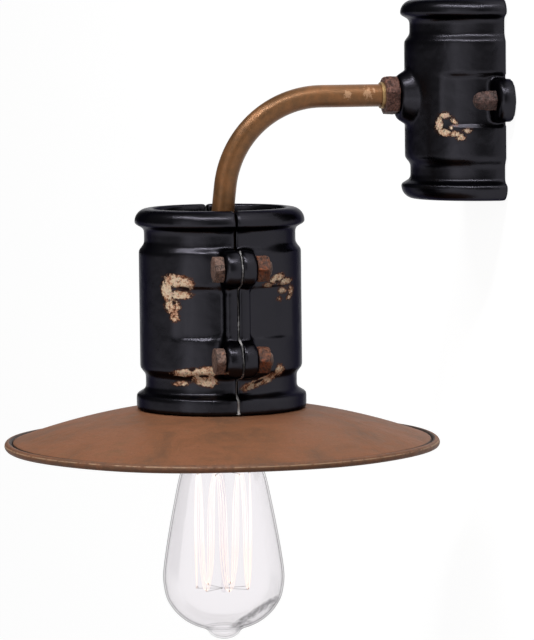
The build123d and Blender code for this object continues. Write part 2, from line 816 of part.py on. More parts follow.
def glass_outline(skin):
    """Neck, shoulder, flank, belly and tip of the glass, drawn in by the skin thickness."""
    neck_end = glass_mouth - 2 * neck_glass_depth
    neck = [(neck_glass_radius - skin, 0, glass_mouth), (neck_glass_radius - skin, 0, neck_end)]
    flank = Spline(
        neck[1],
        (shoulder_radius - skin, 0, shoulder_height),
        (flank_radius - skin, 0, flank_height),
        (bulb_radius - skin, 0, bulb_wide_height),
        tangents=((0, 0, -1), (0, 0, -1)),
    )
    foot = Spline(
        flank @ 1,
        (bottom_radius - skin, 0, bottom_height + skin * glass_slant),
        (belly_radius - skin * glass_slant, 0, belly_height + skin),
        (nipple_radius, 0, nipple_height + skin),
        (0, 0, skin),
        tangents=((0, 0, -1), (-1, 0, 0)),
    )
    axis_line = Line(foot @ 1, (0, 0, glass_mouth))
    lid = Line((0, 0, glass_mouth), neck[0])
    return make_face(Wire([Line(*neck).edge(), flank.edge(), foot.edge(), axis_line.edge(), lid.edge()]))


def bulb_glass():
    solid = revolve(glass_outline(0), Axis.Z) - revolve(glass_outline(glass_wall), Axis.Z)
    return place_on_lamp(solid, bulb_tip)


def glass_stem():
    """Flared stem sealed to the neck, drawn out to the rod that carries the wires."""
    rod_end = cage_bottom - rod_spare
    corners = [
        (0, stem_mouth),
        (stem_flare_radius, stem_mouth),
        (stem_radius, stem_neck),
        (stem_radius, stem_press_top),
        (rod_radius, stem_press),
        (rod_radius, rod_end),
        (0, rod_end),
    ]
    return place_on_lamp(turned(corners), bulb_tip)


def cage_angle(n):
    return 2 * pi * (n + 0.5) / cage_loops


def cage_point(n, height):
    return cage_radius * cos(cage_angle(n)), cage_radius * sin(cage_angle(n)), height


def support_wires():
    """Two spiders of fine hooks round the rod, the upper one half a step round from the lower."""
    reach = cage_radius - filament_radius - support_radius - rod_radius
    wires = []
    for height, shift in ((cage_top, 0.0), (cage_bottom, 0.5)):
        arm = Pos(rod_radius, 0, height) * Rot(0, 90, 0) * base_cylinder(support_radius, reach)
        for n in range(cage_loops):
            wires.append(Rot(0, 0, degrees(cage_angle(n + shift))) * arm)
    return Compound([place_on_lamp(one, bulb_tip) for one in wires])


def filament():
    """One wire that runs up and down between the hooks of the two spiders."""
    points = []
    for n in range(cage_loops):
        points.append(cage_point(n, cage_top))
        points.append(cage_point(n + 0.5, cage_bottom))
    bends = [filament_bend_ratio * filament_radius] * (len(points) - 2)
    path = FilletPolyline(*points, radius=bends)
    start = Plane(origin=path @ 0, z_dir=path % 0)
    return place_on_lamp(sweep(start * Circle(filament_radius), path), bulb_tip)


# ================================================================ shade
def shade():
    """Shallow dome with a flat seat, a centre hole and a rolled bead round the rim."""
    hole = skirt_thread_radius + shade_hole_gap
    edge = shade_radius - rim_bead_radius
    drop = (edge ** 2 - shade_seat_radius ** 2) / (2 * shade_sphere)
    middle = (edge + shade_seat_radius) / 2
    middle_drop = (middle ** 2 - shade_seat_radius ** 2) / (2 * shade_sphere)
    upper = ThreePointArc((shade_seat_radius, 0, 0), (middle, 0, -middle_drop), (edge, 0, -drop))
    lower = ThreePointArc((edge, 0, -drop - shade_thickness), (middle, 0, -middle_drop - shade_thickness),
                          (shade_seat_radius, 0, -shade_thickness))
    outline = Wire([
        Line((hole, 0, 0), (shade_seat_radius, 0, 0)).edge(),
        upper.edge(),
        Line(upper @ 1, lower @ 0).edge(),
        lower.edge(),
        Line(lower @ 1, (hole, 0, -shade_thickness)).edge(),
        Line((hole, 0, -shade_thickness), (hole, 0, 0)).edge(),
    ])
    dome = revolve(make_face(outline), Axis.Z)
    bead = Pos(0, 0, -drop - rim_bead_rise) * Torus(edge, rim_bead_radius)
    return place_on_lamp(dome + bead, shade_top)


def shade_ring():
    """Knurled ring that screws up the skirt and clamps the shade against the body."""
    ring = ring_solid(ring_radius, skirt_thread_radius + seat_gap, ring_height)
    for n in range(ring_grips):
        angle = 360 * n / ring_grips
        ring -= Rot(0, 0, angle) * Pos(ring_radius + ring_grip_radius / 2, 0, 0) * base_cylinder(
            ring_grip_radius, ring_height)
    return place_on_lamp(ring, ring_top - ring_height)


# ================================================================ clamp bolts
def clamp_bolt():
    """Hexagon bolt standing on its head's underside, head below z = 0."""
    length = 2 * lug_thickness + clamp_nut_height + clamp_bolt_spare
    shank = base_cylinder(clamp_bolt_radius, length)
    shank = chamfer(shank.edges().sort_by(Axis.Z)[-1:], clamp_bolt_chamfer)
    head = Pos(0, 0, -clamp_head_height) * hexagon(clamp_across_flats, clamp_head_height)
    return shank + head


def clamp_places():
    return [(side * bolt_offset, body_middle + height)
            for side in (1, -1)
            for height in (lug_spacing / 2, -lug_spacing / 2)]


def clamp_bolts():
    bolts = []
    for x, z in clamp_places():
        bolts.append(Pos(x, lamp_y - lug_thickness, z) * Rot(-90, 0, 0) * clamp_bolt())
    return Compound(bolts)


def clamp_nuts():
    nut = hex_nut(clamp_across_flats, clamp_nut_height, clamp_bolt_radius + thread_gap)
    return Compound([Pos(x, lamp_y + lug_thickness, z) * Rot(-90, 0, 0) * nut for x, z in clamp_places()])


# ================================================================ the whole lamp
nodes = {
    "wall_bracket": wall_bracket,
    "wall_studs": wall_studs,
    "wall_cap_nuts": wall_cap_nuts,
    "wall_shell": wall_shell,
    "terminal_block": terminal_block,
    "terminal_screws": terminal_screws,
    "block_screw": block_screw,
    "earth_screw": earth_screw,
    "earth_washer": earth_washer,
    "arm_tube": arm_tube,
    "arm_collar": arm_collar,
    "arm_ferrule": arm_ferrule,
    "arm_washer": arm_washer,
    "earth_tag": earth_tag,
    "arm_locknut": arm_locknut,
    "live_lead": lambda: main_lead(-1),
    "neutral_lead": lambda: main_lead(1),
    "earth_lead": earth_lead,
    "body_front": body_front,
    "body_rear": body_rear,
    "clamp_bolts": clamp_bolts,
    "clamp_nuts": clamp_nuts,
    "carrier_disc": carrier_disc,
    "tail_nuts": tail_nuts,
    "holder_cap": holder_cap,
    "holder_skirt": holder_skirt,
    "holder_insert": holder_insert,
    "holder_terminals": holder_terminals,
    "screw_shell": screw_shell,
    "centre_contact": centre_contact,
    "shade": shade,
    "shade_ring": shade_ring,
    "contact_button": contact_button,
    "cap_insulator": cap_insulator,
    "bulb_cap": bulb_cap,
    "bulb_glass": bulb_glass,
    "glass_stem": glass_stem,
    "support_wires": support_wires,
    "filament": filament,
}

os.makedirs("parts", exist_ok=True)
for name, make in nodes.items():
    export_step(make(), f"parts/{name}.step")
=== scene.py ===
import math

import bmesh
import bpy
import numpy as np
from mathutils import Matrix


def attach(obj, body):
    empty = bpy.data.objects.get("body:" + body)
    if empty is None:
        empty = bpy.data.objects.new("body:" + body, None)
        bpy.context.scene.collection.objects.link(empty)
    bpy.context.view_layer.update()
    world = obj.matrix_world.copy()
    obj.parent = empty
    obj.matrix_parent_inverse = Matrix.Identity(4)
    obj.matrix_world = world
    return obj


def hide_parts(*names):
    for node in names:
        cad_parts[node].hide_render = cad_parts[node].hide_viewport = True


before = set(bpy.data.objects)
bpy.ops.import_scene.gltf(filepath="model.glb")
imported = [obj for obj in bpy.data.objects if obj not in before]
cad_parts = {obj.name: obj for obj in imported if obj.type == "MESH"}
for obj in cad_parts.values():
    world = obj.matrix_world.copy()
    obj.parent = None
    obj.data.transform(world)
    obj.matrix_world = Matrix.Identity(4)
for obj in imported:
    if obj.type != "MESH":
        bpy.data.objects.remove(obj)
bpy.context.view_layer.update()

# The lamp's own places, in millimetres, as the CAD has them: the wall is y = 0 and +Z is up.
LAMP_Y = -145.86            # axis of the lamp body, the shade and the bulb
BODY_MIDDLE = -108.51
BARREL = 43.0               # radius of both ceramic barrels
NECK = 40.1                 # radius between barrel and lip
LIP = 45.1
RIB = 47.4                  # reach of the ribs between the body's lugs
RUN_START, RUN_END = 36.0, 51.0     # degrees from the joint between which the windows fade
WINDOW_HALF, WINDOW_END = 15.8, 58.0    # half height of the windows; degrees to past their ends
BOLT_X = 50.5
LUG_Z = 23.7                # lugs above and below the body's middle
LUG_RADIUS = 9.6
SHADE_TOP = -162.01
SHADE_SEAT = 46.0           # the shade is flat as far as this radius
SHADE_SPHERE = 305.0        # radius of its dome
SHADE_SHEET = 1.2
# The pale line round the rim is rubbed paint and a painted highlight.
RUBBED_HIGHLIGHT_LINE = 17.55         # pale line round the rim, below the shade's top
RIM_RADIUS, RIM_Z, RIM_BEAD = 113.6, -18.45, 2.1    # middle of the rolled rim, and its own radius
BULB_TIP = -286.01
CONTACT_Z = -146.01
GLASS_WALL = 0.9
CAGE_TOP, CAGE_BOTTOM = BULB_TIP + 90.0, BULB_TIP + 27.2
CAGE_RADIUS = 14.5
CAGE_LOOPS = 7
CAP_PITCH = 3.63            # thread of the bulb's cap
MILLI = 1000.0              # millimetres in a metre


# ------------------------------------------------------------------ meshes from arrays
def place_mesh(name, points, faces, body):
    """A mesh object in metres from points in millimetres; smooth-shaded, riding on its body."""
    mesh = bpy.data.meshes.new(name)
    mesh.from_pydata((np.asarray(points, float) / MILLI).tolist(), [], np.asarray(faces).tolist())
    mesh.polygons.foreach_set("use_smooth", np.ones(len(mesh.polygons), bool))
    mesh.update()
    obj = bpy.data.objects.new(name, mesh)
    bpy.context.scene.collection.objects.link(obj)
    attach(obj, body)
    return obj


def grid_faces(rows, columns, close_rows=False):
    """Quads between neighbours of a rows x columns grid whose last column joins its first; with
    close_rows, its last row joins its first too."""
    row = np.arange(rows if close_rows else rows - 1)
    i, j = np.meshgrid(row, np.arange(columns), indexing="ij")
    i2, j2 = (i + 1) % rows, (j + 1) % columns
    quads = np.stack([i * columns + j, i * columns + j2, i2 * columns + j2, i2 * columns + j], -1)
    return quads.reshape(-1, 4)


def round_the_axis(radius, angle, height):
    """Points at that radius and angle from the lamp's axis."""
    return np.stack([radius * np.cos(angle), LAMP_Y + radius * np.sin(angle), height], -1)


def spun(profile, steps, wave=None):
    """A closed outline of (radius, height) spun round the lamp's axis.

    Point (i, j) is (r_i cos a_j, r_i sin a_j, z_i) with a_j the j-th of equal angles; wave(r, a)
    may add (radial, upward) millimetres to it. The outline runs so that the faces point outwards."""
    r, z = np.asarray(profile, float).T
    a = np.linspace(0, 2 * np.pi, steps, endpoint=False)
    radius, angle = np.meshgrid(r, a, indexing="ij")
    height = np.repeat(z[:, None], steps, 1)
    if wave is not None:
        out, up = wave(radius, angle)
        radius, height = radius + out, height + up
    points = round_the_axis(radius, angle, height)
    return points.reshape(-1, 3), grid_faces(len(r), steps, close_rows=True)


def along(path, radius, sides):
    """A round rod along a path of points.

    At each point the ring is path + radius (cos b n + sin b m), with n square to the path's
    direction and to one guide line, and m square to the direction and to n. Both ends shrink to
    a fiftieth, and strips of quads close them."""
    path = np.asarray(path, float)
    radius = np.broadcast_to(np.asarray(radius, float), (len(path),)).copy()
    ahead = np.gradient(path, axis=0)
    ahead /= np.linalg.norm(ahead, axis=1, keepdims=True)
    path = np.concatenate([path[:1], path, path[-1:]])
    ahead = np.concatenate([ahead[:1], ahead, ahead[-1:]])
    radius = np.concatenate([[radius[0] * 0.02], radius, [radius[-1] * 0.02]])
    guide = np.array([0.31, 0.52, 0.79])
    n = np.cross(ahead, guide)
    n /= np.linalg.norm(n, axis=1, keepdims=True)
    m = np.cross(ahead, n)
    b = np.linspace(0, 2 * np.pi, sides, endpoint=False)
    ring = np.cos(b)[None, :, None] * n[:, None] + np.sin(b)[None, :, None] * m[:, None]
    points = path[:, None] + radius[:, None, None] * ring
    k = np.arange(sides // 2 - 1)
    strips = np.stack([k, k + 1, sides - 2 - k, sides - 1 - k], 1)
    faces = [grid_faces(len(path), sides), strips[:, ::-1], strips + (len(path) - 1) * sides]
    return points.reshape(-1, 3), np.concatenate(faces)


def joined(parts):
    """Several (points, faces) made one."""
    points, faces, start = [], [], 0
    for some_points, some_faces in parts:
        points.append(some_points)
        faces.append(some_faces + start)
        start += len(some_points)
    return np.concatenate(points), np.concatenate(faces)


def lattice_noise(points, size, seed):
    """Smooth noise from -1 to 1: random values on a cubic lattice of that size in millimetres,
    blended in each cell with the weight 3 t^2 - 2 t^3 along every axis."""
    q = np.asarray(points, float) / size
    cell = np.floor(q).astype(np.int64)
    t = q - cell
    w = t * t * (3 - 2 * t)
    total = np.zeros(len(q))
    for corner in range(8):
        d = np.array([corner & 1, corner >> 1 & 1, corner >> 2 & 1])
        k = cell + d
        mixed = (k[:, 0] * 73856093) ^ (k[:, 1] * 19349663) ^ (k[:, 2] * 83492791)
        mixed = mixed ^ (seed * 2654435761)
        mixed = (mixed ^ (mixed >> 13)) * 1274126177
        value = (mixed & 0xFFFF) / 32767.5 - 1
        share = np.where(d == 1, w, 1 - w).prod(1)
        total += value * share
    return total


def run_out(points, middle_y, middle_z):
    """The glaze fills the far ends of the shallow windows, so that they fade into the barrel.

    Where the angle from the joint grows from RUN_START to RUN_END, a point of the window's floor at
    radius r moves out to r + (BARREL - r) s, with s the smooth step of that angle."""
    x, y, z = points.T
    y, z = y - middle_y, z - middle_z
    radius = np.hypot(x, y)
    angle = np.degrees(np.arctan2(np.abs(y), np.abs(x)))
    t = np.clip((angle - RUN_START) / (RUN_END - RUN_START), 0, 1)
    floor = (radius > 40.6) & (radius < BARREL) & (np.abs(z) < WINDOW_HALF) & (angle < WINDOW_END)
    grow = np.where(floor, 1 + (BARREL - radius) * t * t * (3 - 2 * t) / radius, 1.0)
    return np.stack([x * grow, y * grow + middle_y, z + middle_z], 1)


def melted(points, edges, middle_y, middle_z, lugs):
    """The glaze lies thicker round the lugs: their roots and rims get a wide radius.

    In 30 rounds each vertex moves by half its weight to the mean of its neighbours. The weight
    is 1 from 42 mm sideways of the shell's axis and 5 mm off the joint, up to 11 mm above and
    below a lug's middle, and fades within 7.5 mm of the bolts."""
    a, b = edges.T
    total = len(points)
    x, y, z = np.abs(points - (0.0, middle_y, middle_z)).T
    weight = np.clip((x - 39.5) / 2.5, 0, 1) * np.clip((y - 3.0) / 2.0, 0, 1)
    weight *= np.clip((14.0 - np.abs(z - lugs)) / 3.0, 0, 1)
    weight *= np.clip((np.hypot(x - BOLT_X, z - lugs) - 6.0) / 1.5, 0, 1)
    count = np.bincount(np.concatenate([a, b]), minlength=total)[:, None]
    for _ in range(30):
        mean = np.stack([np.bincount(a, column[b], total) + np.bincount(b, column[a], total)
                         for column in points.T], 1) / count
        points = points + 0.5 * weight[:, None] * (mean - points)
    return points


def softened(name, node, body, voxel, rounds, scale=0.0, size=3.0, seed=1, middle=None, lugs=0.0):
    """A copy of a CAD node as thick glaze or old rust leaves it.

    The copy's doubles are merged, it is rebuilt on an even voxel grid and each vertex moves half
    way to the mean of its neighbours for a number of rounds, so that every corner gets a soft
    radius. With scale, points also move by scale x lattice noise along their normals; with the
    (y, z) middle of a shell, its lugs melt and its shallow windows run out (see melted, run_out)."""
    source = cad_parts[node]
    mesh = source.data.copy()
    mesh.materials.clear()
    work = bmesh.new()
    work.from_mesh(mesh)
    bmesh.ops.remove_doubles(work, verts=work.verts, dist=2e-6)
    work.to_mesh(mesh)
    work.free()
    draft = bpy.data.objects.new(name + "_draft", mesh)
    bpy.context.scene.collection.objects.link(draft)
    grid = draft.modifiers.new("grid", "REMESH")
    grid.mode = "VOXEL"
    grid.voxel_size = voxel / MILLI
    relax = draft.modifiers.new("relax", "SMOOTH")
    relax.factor = 0.5
    relax.iterations = rounds
    bpy.context.view_layer.update()
    shape = bpy.data.meshes.new_from_object(draft.evaluated_get(bpy.context.evaluated_depsgraph_get()))
    bpy.data.objects.remove(draft)
    co = np.zeros(len(shape.vertices) * 3)
    shape.vertices.foreach_get("co", co)
    co = co.reshape(-1, 3)
    if middle:
        ends = np.zeros(len(shape.edges) * 2, np.int32)
        shape.edges.foreach_get("vertices", ends)
        co = run_out(melted(co * MILLI, ends.reshape(-1, 2), *middle, lugs), *middle) / MILLI
        shape.vertices.foreach_set("co", co.ravel())
    if scale:
        normal = np.zeros(len(shape.vertices) * 3)
        shape.vertices.foreach_get("normal", normal)
        push = lattice_noise(co * MILLI, size, seed)
        push = push + 0.5 * lattice_noise(co * MILLI, size / 2.3, seed + 7)
        co = co + normal.reshape(-1, 3) * (scale / MILLI * push)[:, None]
        shape.vertices.foreach_set("co", co.ravel())
    shape.polygons.foreach_set("use_smooth", np.ones(len(shape.polygons), bool))
    shape.name = name
    shape.update()
    obj = bpy.data.objects.new(name, shape)
    bpy.context.scene.collection.objects.link(obj)
    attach(obj, body)
    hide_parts(node)
    return obj


# ------------------------------------------------------------------ finishes
class Socket:
    """One output of a material's node. + - * / and powers on it add Math nodes."""

    def __init__(self, finish, socket):
        self.finish, self.socket = finish, socket

    def maths(self, operation, *others):
        values = {0: self, **{i + 1: v for i, v in enumerate(others)}}
        return self.finish.node("ShaderNodeMath", {"operation": operation}, values)

    def reflected(self, operation, other):
        return self.finish.node("ShaderNodeMath", {"operation": operation}, {0: other, 1: self})

    def __add__(self, other):
        return self.maths("ADD", other)

    def __radd__(self, other):
        return self.maths("ADD", other)

    def __sub__(self, other):
        return self.maths("SUBTRACT", other)

    def __rsub__(self, other):
        return self.reflected("SUBTRACT", other)

    def __mul__(self, other):
        return self.maths("MULTIPLY", other)

    def __rmul__(self, other):
        return self.maths("MULTIPLY", other)

    def __truediv__(self, other):
        return self.maths("DIVIDE", other)

    def __rtruediv__(self, other):
        return self.reflected("DIVIDE", other)

    def __pow__(self, other):
        return self.maths("POWER", other)

    def top(self, other):
        return self.maths("MAXIMUM", other)

    def low(self, other):
        return self.maths("MINIMUM", other)


class Finish:
    """A material while it is written. node() adds any node and gives back one of its outputs."""

    def __init__(self, name):
        self.material = bpy.data.materials.new(name)
        self.material.use_nodes = True
        self.tree = self.material.node_tree
        self.tree.nodes.clear()
        coordinates = self.node("ShaderNodeTexCoord", out="Object")
        self.place = self.node("ShaderNodeVectorMath", {"operation": "SCALE"},
                               {0: coordinates, "Scale": MILLI})

    def node(self, kind, settings=None, values=None, out=0):
        made = self.tree.nodes.new(kind)
        for key, value in (settings or {}).items():
            if key == "stops":
                ramp = made.color_ramp.elements
                while len(ramp) < len(value):
                    ramp.new(0.5)
                for element, (position, colour) in zip(ramp, value):
                    element.position = position
                    element.color = (*colour, 1.0)
            else:
                setattr(made, key, value)
        for key, value in (values or {}).items():
            if isinstance(value, Socket):
                self.tree.links.new(value.socket, made.inputs[key])
            else:
                made.inputs[key].default_value = value
        return Socket(self, made.outputs[out])

    def noise(self, cell, detail=2.0, rough=0.5, warp=0.0, place=None):
        """Noise from 0 to 1 whose lumps are about cell millimetres across."""
        return self.node("ShaderNodeTexNoise", {"noise_dimensions": "3D"}, {
            "Vector": place or self.place, "Scale": 1.0 / cell, "Detail": detail, "Roughness": rough,
            "Distortion": warp})

    def stretched(self, centre, tilt, sizes):
        """The place measured from a centre, turned back by tilt and divided by sizes."""
        return self.node("ShaderNodeMapping", {"vector_type": "TEXTURE"}, {
            "Vector": self.place, "Location": centre, "Rotation": tilt, "Scale": sizes})

    def split(self, vector=None):
        made = self.node("ShaderNodeSeparateXYZ", None, {0: vector or self.place})
        node = made.socket.node
        return [Socket(self, node.outputs[i]) for i in range(3)]

    def length(self, vector):
        return self.node("ShaderNodeVectorMath", {"operation": "LENGTH"}, {0: vector}, out="Value")

    def step(self, value, start, end):
        """0 below start, 1 above end and a smooth step between; start may be the larger."""
        return self.node("ShaderNodeMapRange", {"interpolation_type": "SMOOTHSTEP"}, {
            "Value": value, "From Min": start, "From Max": end})

    def blend(self, share, first, second):
        """Colour first at share 0, second at 1."""
        colours = {i: (c if isinstance(c, Socket) else (*c, 1.0)) for i, c in ((6, first), (7, second))}
        return self.node("ShaderNodeMix", {"data_type": "RGBA"}, {0: share, **colours}, out=2)

    def ramp(self, value, stops):
        return self.node("ShaderNodeValToRGB", {"stops": stops}, {0: value})

    def bump(self, height, depth, under=None):
        """A Bump of that many millimetres for height 0 to 1."""
        values = {"Height": height, "Distance": depth / MILLI, "Strength": 1.0}
        if under:
            values["Normal"] = under
        return self.node("ShaderNodeBump", None, values)

    def shader(self, colour, rough, metal=0.0, normal=None, **more):
        """A Principled surface; names in more use _ for a space."""
        values = {"Base Color": colour if isinstance(colour, Socket) else (*colour, 1.0),
                  "Roughness": rough, "Metallic": metal}
        if normal:
            values["Normal"] = normal
        for key, value in more.items():
            values[key.replace("_", " ")] = value
        return self.node("ShaderNodeBsdfPrincipled", None, values)

    def done(self, surface):
        output = self.tree.nodes.new("ShaderNodeOutputMaterial")
        self.tree.links.new(surface.socket, output.inputs["Surface"])
        return self.material


def glaze(name, centre, patches, cream=0.0):
    """Near-black glaze, soft and slightly wavy, with the places where it has broken away.

    The glaze mirrors about a thirtieth of the light and, like an iron-rich one, hardly more
    where it turns away, so it is written as a very dark metal; the clay under it is matt.
    A patch is a row of leaning ellipses (y, z, half width, half height, degrees) seen from its
    side of the piece; the clay shows where one minus the ellipse's radius, in quarters of its
    size in millimetres, plus noise, is above zero. An ellipse with a negative height paints
    shade instead: a pit in the clay darkened where shade falls. With cream, the clay is paler."""
    f = Finish(name)
    x, y, z = f.split()
    ragged = (f.noise(3.4, 6.0, 0.7) - 0.5) * 1.4 + (f.noise(1.5, 5.0, 0.8) - 0.5) * 2.3
    bare, pit_shade = None, None
    for side, ellipses in patches:
        here, sunk_shade = None, None
        for ey, ez, wide, tall, lean in ellipses:
            spot = f.stretched((0.0, centre[0] + ey, centre[1] + ez), (math.radians(lean), 0.0, 0.0),
                               (1e5, wide, abs(tall)))
            reach = (1.0 - f.length(spot)) * math.sqrt(wide * abs(tall) / 15.0)
            if tall < 0:
                sunk_shade = reach if sunk_shade is None else sunk_shade.top(reach)
            else:
                here = reach if here is None else here.top(reach)
        facing = f.step(x * side, 8.0, 14.0) * 2.0 - 1.0
        here = here.low(facing)
        bare = here if bare is None else bare.top(here)
        if sunk_shade is not None:
            sunk_shade = sunk_shade.low(facing)
            pit_shade = sunk_shade if pit_shade is None else pit_shade.top(sunk_shade)
    inside = bare + ragged * 0.62
    clay = f.step(inside, 0.07, 0.13)
    rim = f.step(inside, -0.16, 0.02) * (1.0 - clay)
    grains = f.noise(1.3, 5.0, 0.8)
    tone = f.noise(4.5, 4.0, 0.65)
    ochre = f.ramp((tone - 0.5) * 1.7 + (grains - 0.5) * 1.9 + 0.5 + cream + inside * 0.12, [
        (0.18, (0.070, 0.026, 0.015)), (0.34, (0.36, 0.150, 0.078)), (0.46, (0.70, 0.38, 0.25)),
        (0.57, (0.84, 0.58, 0.38)), (0.70, (0.95, 0.84, 0.62)), (0.88, (0.80, 0.48, 0.36))])
    specks = f.step(f.noise(1.2, 4.0, 0.75), 0.57, 0.63)
    ochre = f.blend(specks * 0.9, ochre, (0.060, 0.028, 0.018))
    edge = 1.0 - f.step(inside, 0.10, 0.34)
    ochre = f.blend(edge * f.step(tone, 0.42, 0.60) * 0.75, ochre, (0.20, 0.085, 0.045))
    # Painted shade in the pits of the clay.
    if pit_shade is not None:
        ochre = f.blend(f.step(pit_shade + ragged * 0.3, 0.0, 0.14), ochre, (0.030, 0.016, 0.013))
    cloud = f.noise(22.0, 3.0)
    black = f.blend(cloud, (0.0225, 0.0218, 0.0265), (0.0305, 0.0295, 0.0350))
    dusty = f.step(f.noise(9.0, 5.0, 0.7, 0.4), 0.64, 0.84) * 0.22
    black = f.blend(dusty, black, (0.050, 0.048, 0.052))
    black = f.blend(rim * 0.8, black, (0.060, 0.026, 0.017))
    colour = f.blend(clay, black, ochre)
    rough = (0.24 + cloud * 0.08 + dusty * 0.25) * (1.0 - clay) + clay * 0.9
    waves = f.noise(14.0, 2.0)
    soft = f.bump(waves, 0.45)
    soft = f.bump(f.noise(3.4, 3.0, 0.55), 0.045, soft)
    soft = f.bump(1.0 - clay + clay * grains * 0.5, 0.7, soft)
    soft = f.bump(f.noise(0.8, 2.0), 0.010, soft)
    return f.done(f.shader(colour, rough, 1.0 - clay, soft, Specular_IOR_Level=0.3,
                           Specular_Tint=(0.40, 0.40, 0.42, 1.0)))


def rust(name, dark, mid, bright, orange_share, grain=0.9, wet=0.62):
    """Steel under brown rust: lumps of three tones, orange powder in the hollows, pitted bump."""
    f = Finish(name)
    lumps = f.noise(3.2 * grain, 5.0, 0.65, 0.3)
    grit = f.noise(0.8 * grain, 3.0, 0.6)
    tone = f.ramp(lumps + (grit - 0.5) * 0.45, [(0.28, dark), (0.46, mid), (0.62, bright), (0.80, mid)])
    powder = f.step(f.noise(4.6 * grain, 4.0, 0.6), 0.62 - orange_share, 0.74 - orange_share)
    tone = f.blend(powder * 0.55, tone, (bright[0] * 1.7, bright[1] * 1.15, bright[2] * 0.75))
    pits = f.step(f.noise(1.3 * grain, 3.0, 0.6), 0.36, 0.46)
    tone = f.blend((1.0 - pits) * 0.6, tone, (dark[0] * 0.5, dark[1] * 0.5, dark[2] * 0.5))
    normal = f.bump(lumps, 0.5)
    normal = f.bump(pits, 0.22, normal)
    normal = f.bump(grit, 0.12, normal)
    rough = wet + (lumps - 0.5) * 0.3
    return f.done(f.shader(tone, rough, 0.0, normal, Specular_IOR_Level=0.4))


def spun_rust():
    """The shade's matt finish: brown paint rusting through in clouds, with faint spinning rings,
    short dabs across them, a pale line where the rim starts that is rubbed paint and a painted
    highlight, and painted shade in the gutter inside the rim."""
    f = Finish("shade_rust_skin")
    centred = f.stretched((0.0, LAMP_Y, 0.0), (0.0, 0.0, 0.0), (1.0, 1.0, 1.0))
    x, y, z = f.split(centred)
    radius = (x * x + y * y) ** 0.5
    angle = f.node("ShaderNodeMath", {"operation": "ARCTAN2"}, {0: y, 1: x})
    lathe = f.node("ShaderNodeCombineXYZ", None, {0: radius, 1: angle * 6.0, 2: z * 0.2})
    rings = f.noise(1.9, 3.0, 0.6, 0.0, lathe)
    dabs = f.noise(9.0, 5.0, 0.65, 0.8)
    cloud = f.noise(34.0, 4.0, 0.6, 0.5)
    grit = f.noise(1.1, 3.0, 0.65)
    warm = f.ramp((cloud - 0.5) * 1.3 + 0.5 + (dabs - 0.5) * 0.6, [
        (0.20, (0.150, 0.070, 0.036)), (0.38, (0.208, 0.088, 0.041)), (0.50, (0.240, 0.096, 0.043)),
        (0.64, (0.268, 0.104, 0.048)), (0.82, (0.215, 0.100, 0.047))])
    olive = f.step(f.noise(17.0, 4.0, 0.6, 0.4), 0.56, 0.74) * 0.28
    tone = f.blend(olive, warm, (0.150, 0.098, 0.050))
    ember = f.step(f.noise(6.0, 5.0, 0.7, 0.6), 0.58, 0.76) * 0.40
    tone = f.blend(ember, tone, (0.340, 0.118, 0.052))
    tone = f.blend(f.step(grit, 0.56, 0.70) * 0.40, tone, (0.100, 0.048, 0.028))
    tone = f.blend(f.step(grit, 0.40, 0.30) * 0.25, tone, (0.40, 0.22, 0.13))
    tone = f.blend((rings - 0.5) * 0.5 + 0.15, tone, (0.155, 0.070, 0.038))
    edge = f.step(radius, 110.8, 113.0)
    tone = f.blend(edge * (0.20 + f.step(f.noise(3.0, 4.0, 0.6), 0.40, 0.62) * 0.40), tone,
                   (0.115, 0.062, 0.040))
    # Painted shade: the gutter between the dome and the rim is darkened where shade falls in it.
    gutter = f.step(radius, 110.7, 111.2) * (1.0 - f.step(radius, 112.9, 113.5))
    gutter = gutter * f.step(z, -182.0, -180.9)
    tone = f.blend(gutter * 0.92, tone, (0.018, 0.010, 0.008))
    # Painted highlight along the rim's outer side, laid as rubbed pale paint.
    line = 1.0 - f.step((z - SHADE_TOP + RUBBED_HIGHLIGHT_LINE).maths("ABSOLUTE"), 0.18, 0.40)
    line = line * f.step(radius, 114.2, 114.6) * f.step(f.noise(7.0, 4.0, 0.65), 0.36, 0.56)
    tone = f.blend(line * 0.65, tone, (0.52, 0.33, 0.20))
    normal = f.bump(cloud, 0.9)
    normal = f.bump(dabs, 0.16, normal)
    normal = f.bump(rings, 0.05, normal)
    normal = f.bump(grit, 0.05, normal)
    return f.done(f.shader(tone, 0.62 + (dabs - 0.5) * 0.3, 0.0, normal, Specular_IOR_Level=0.35))


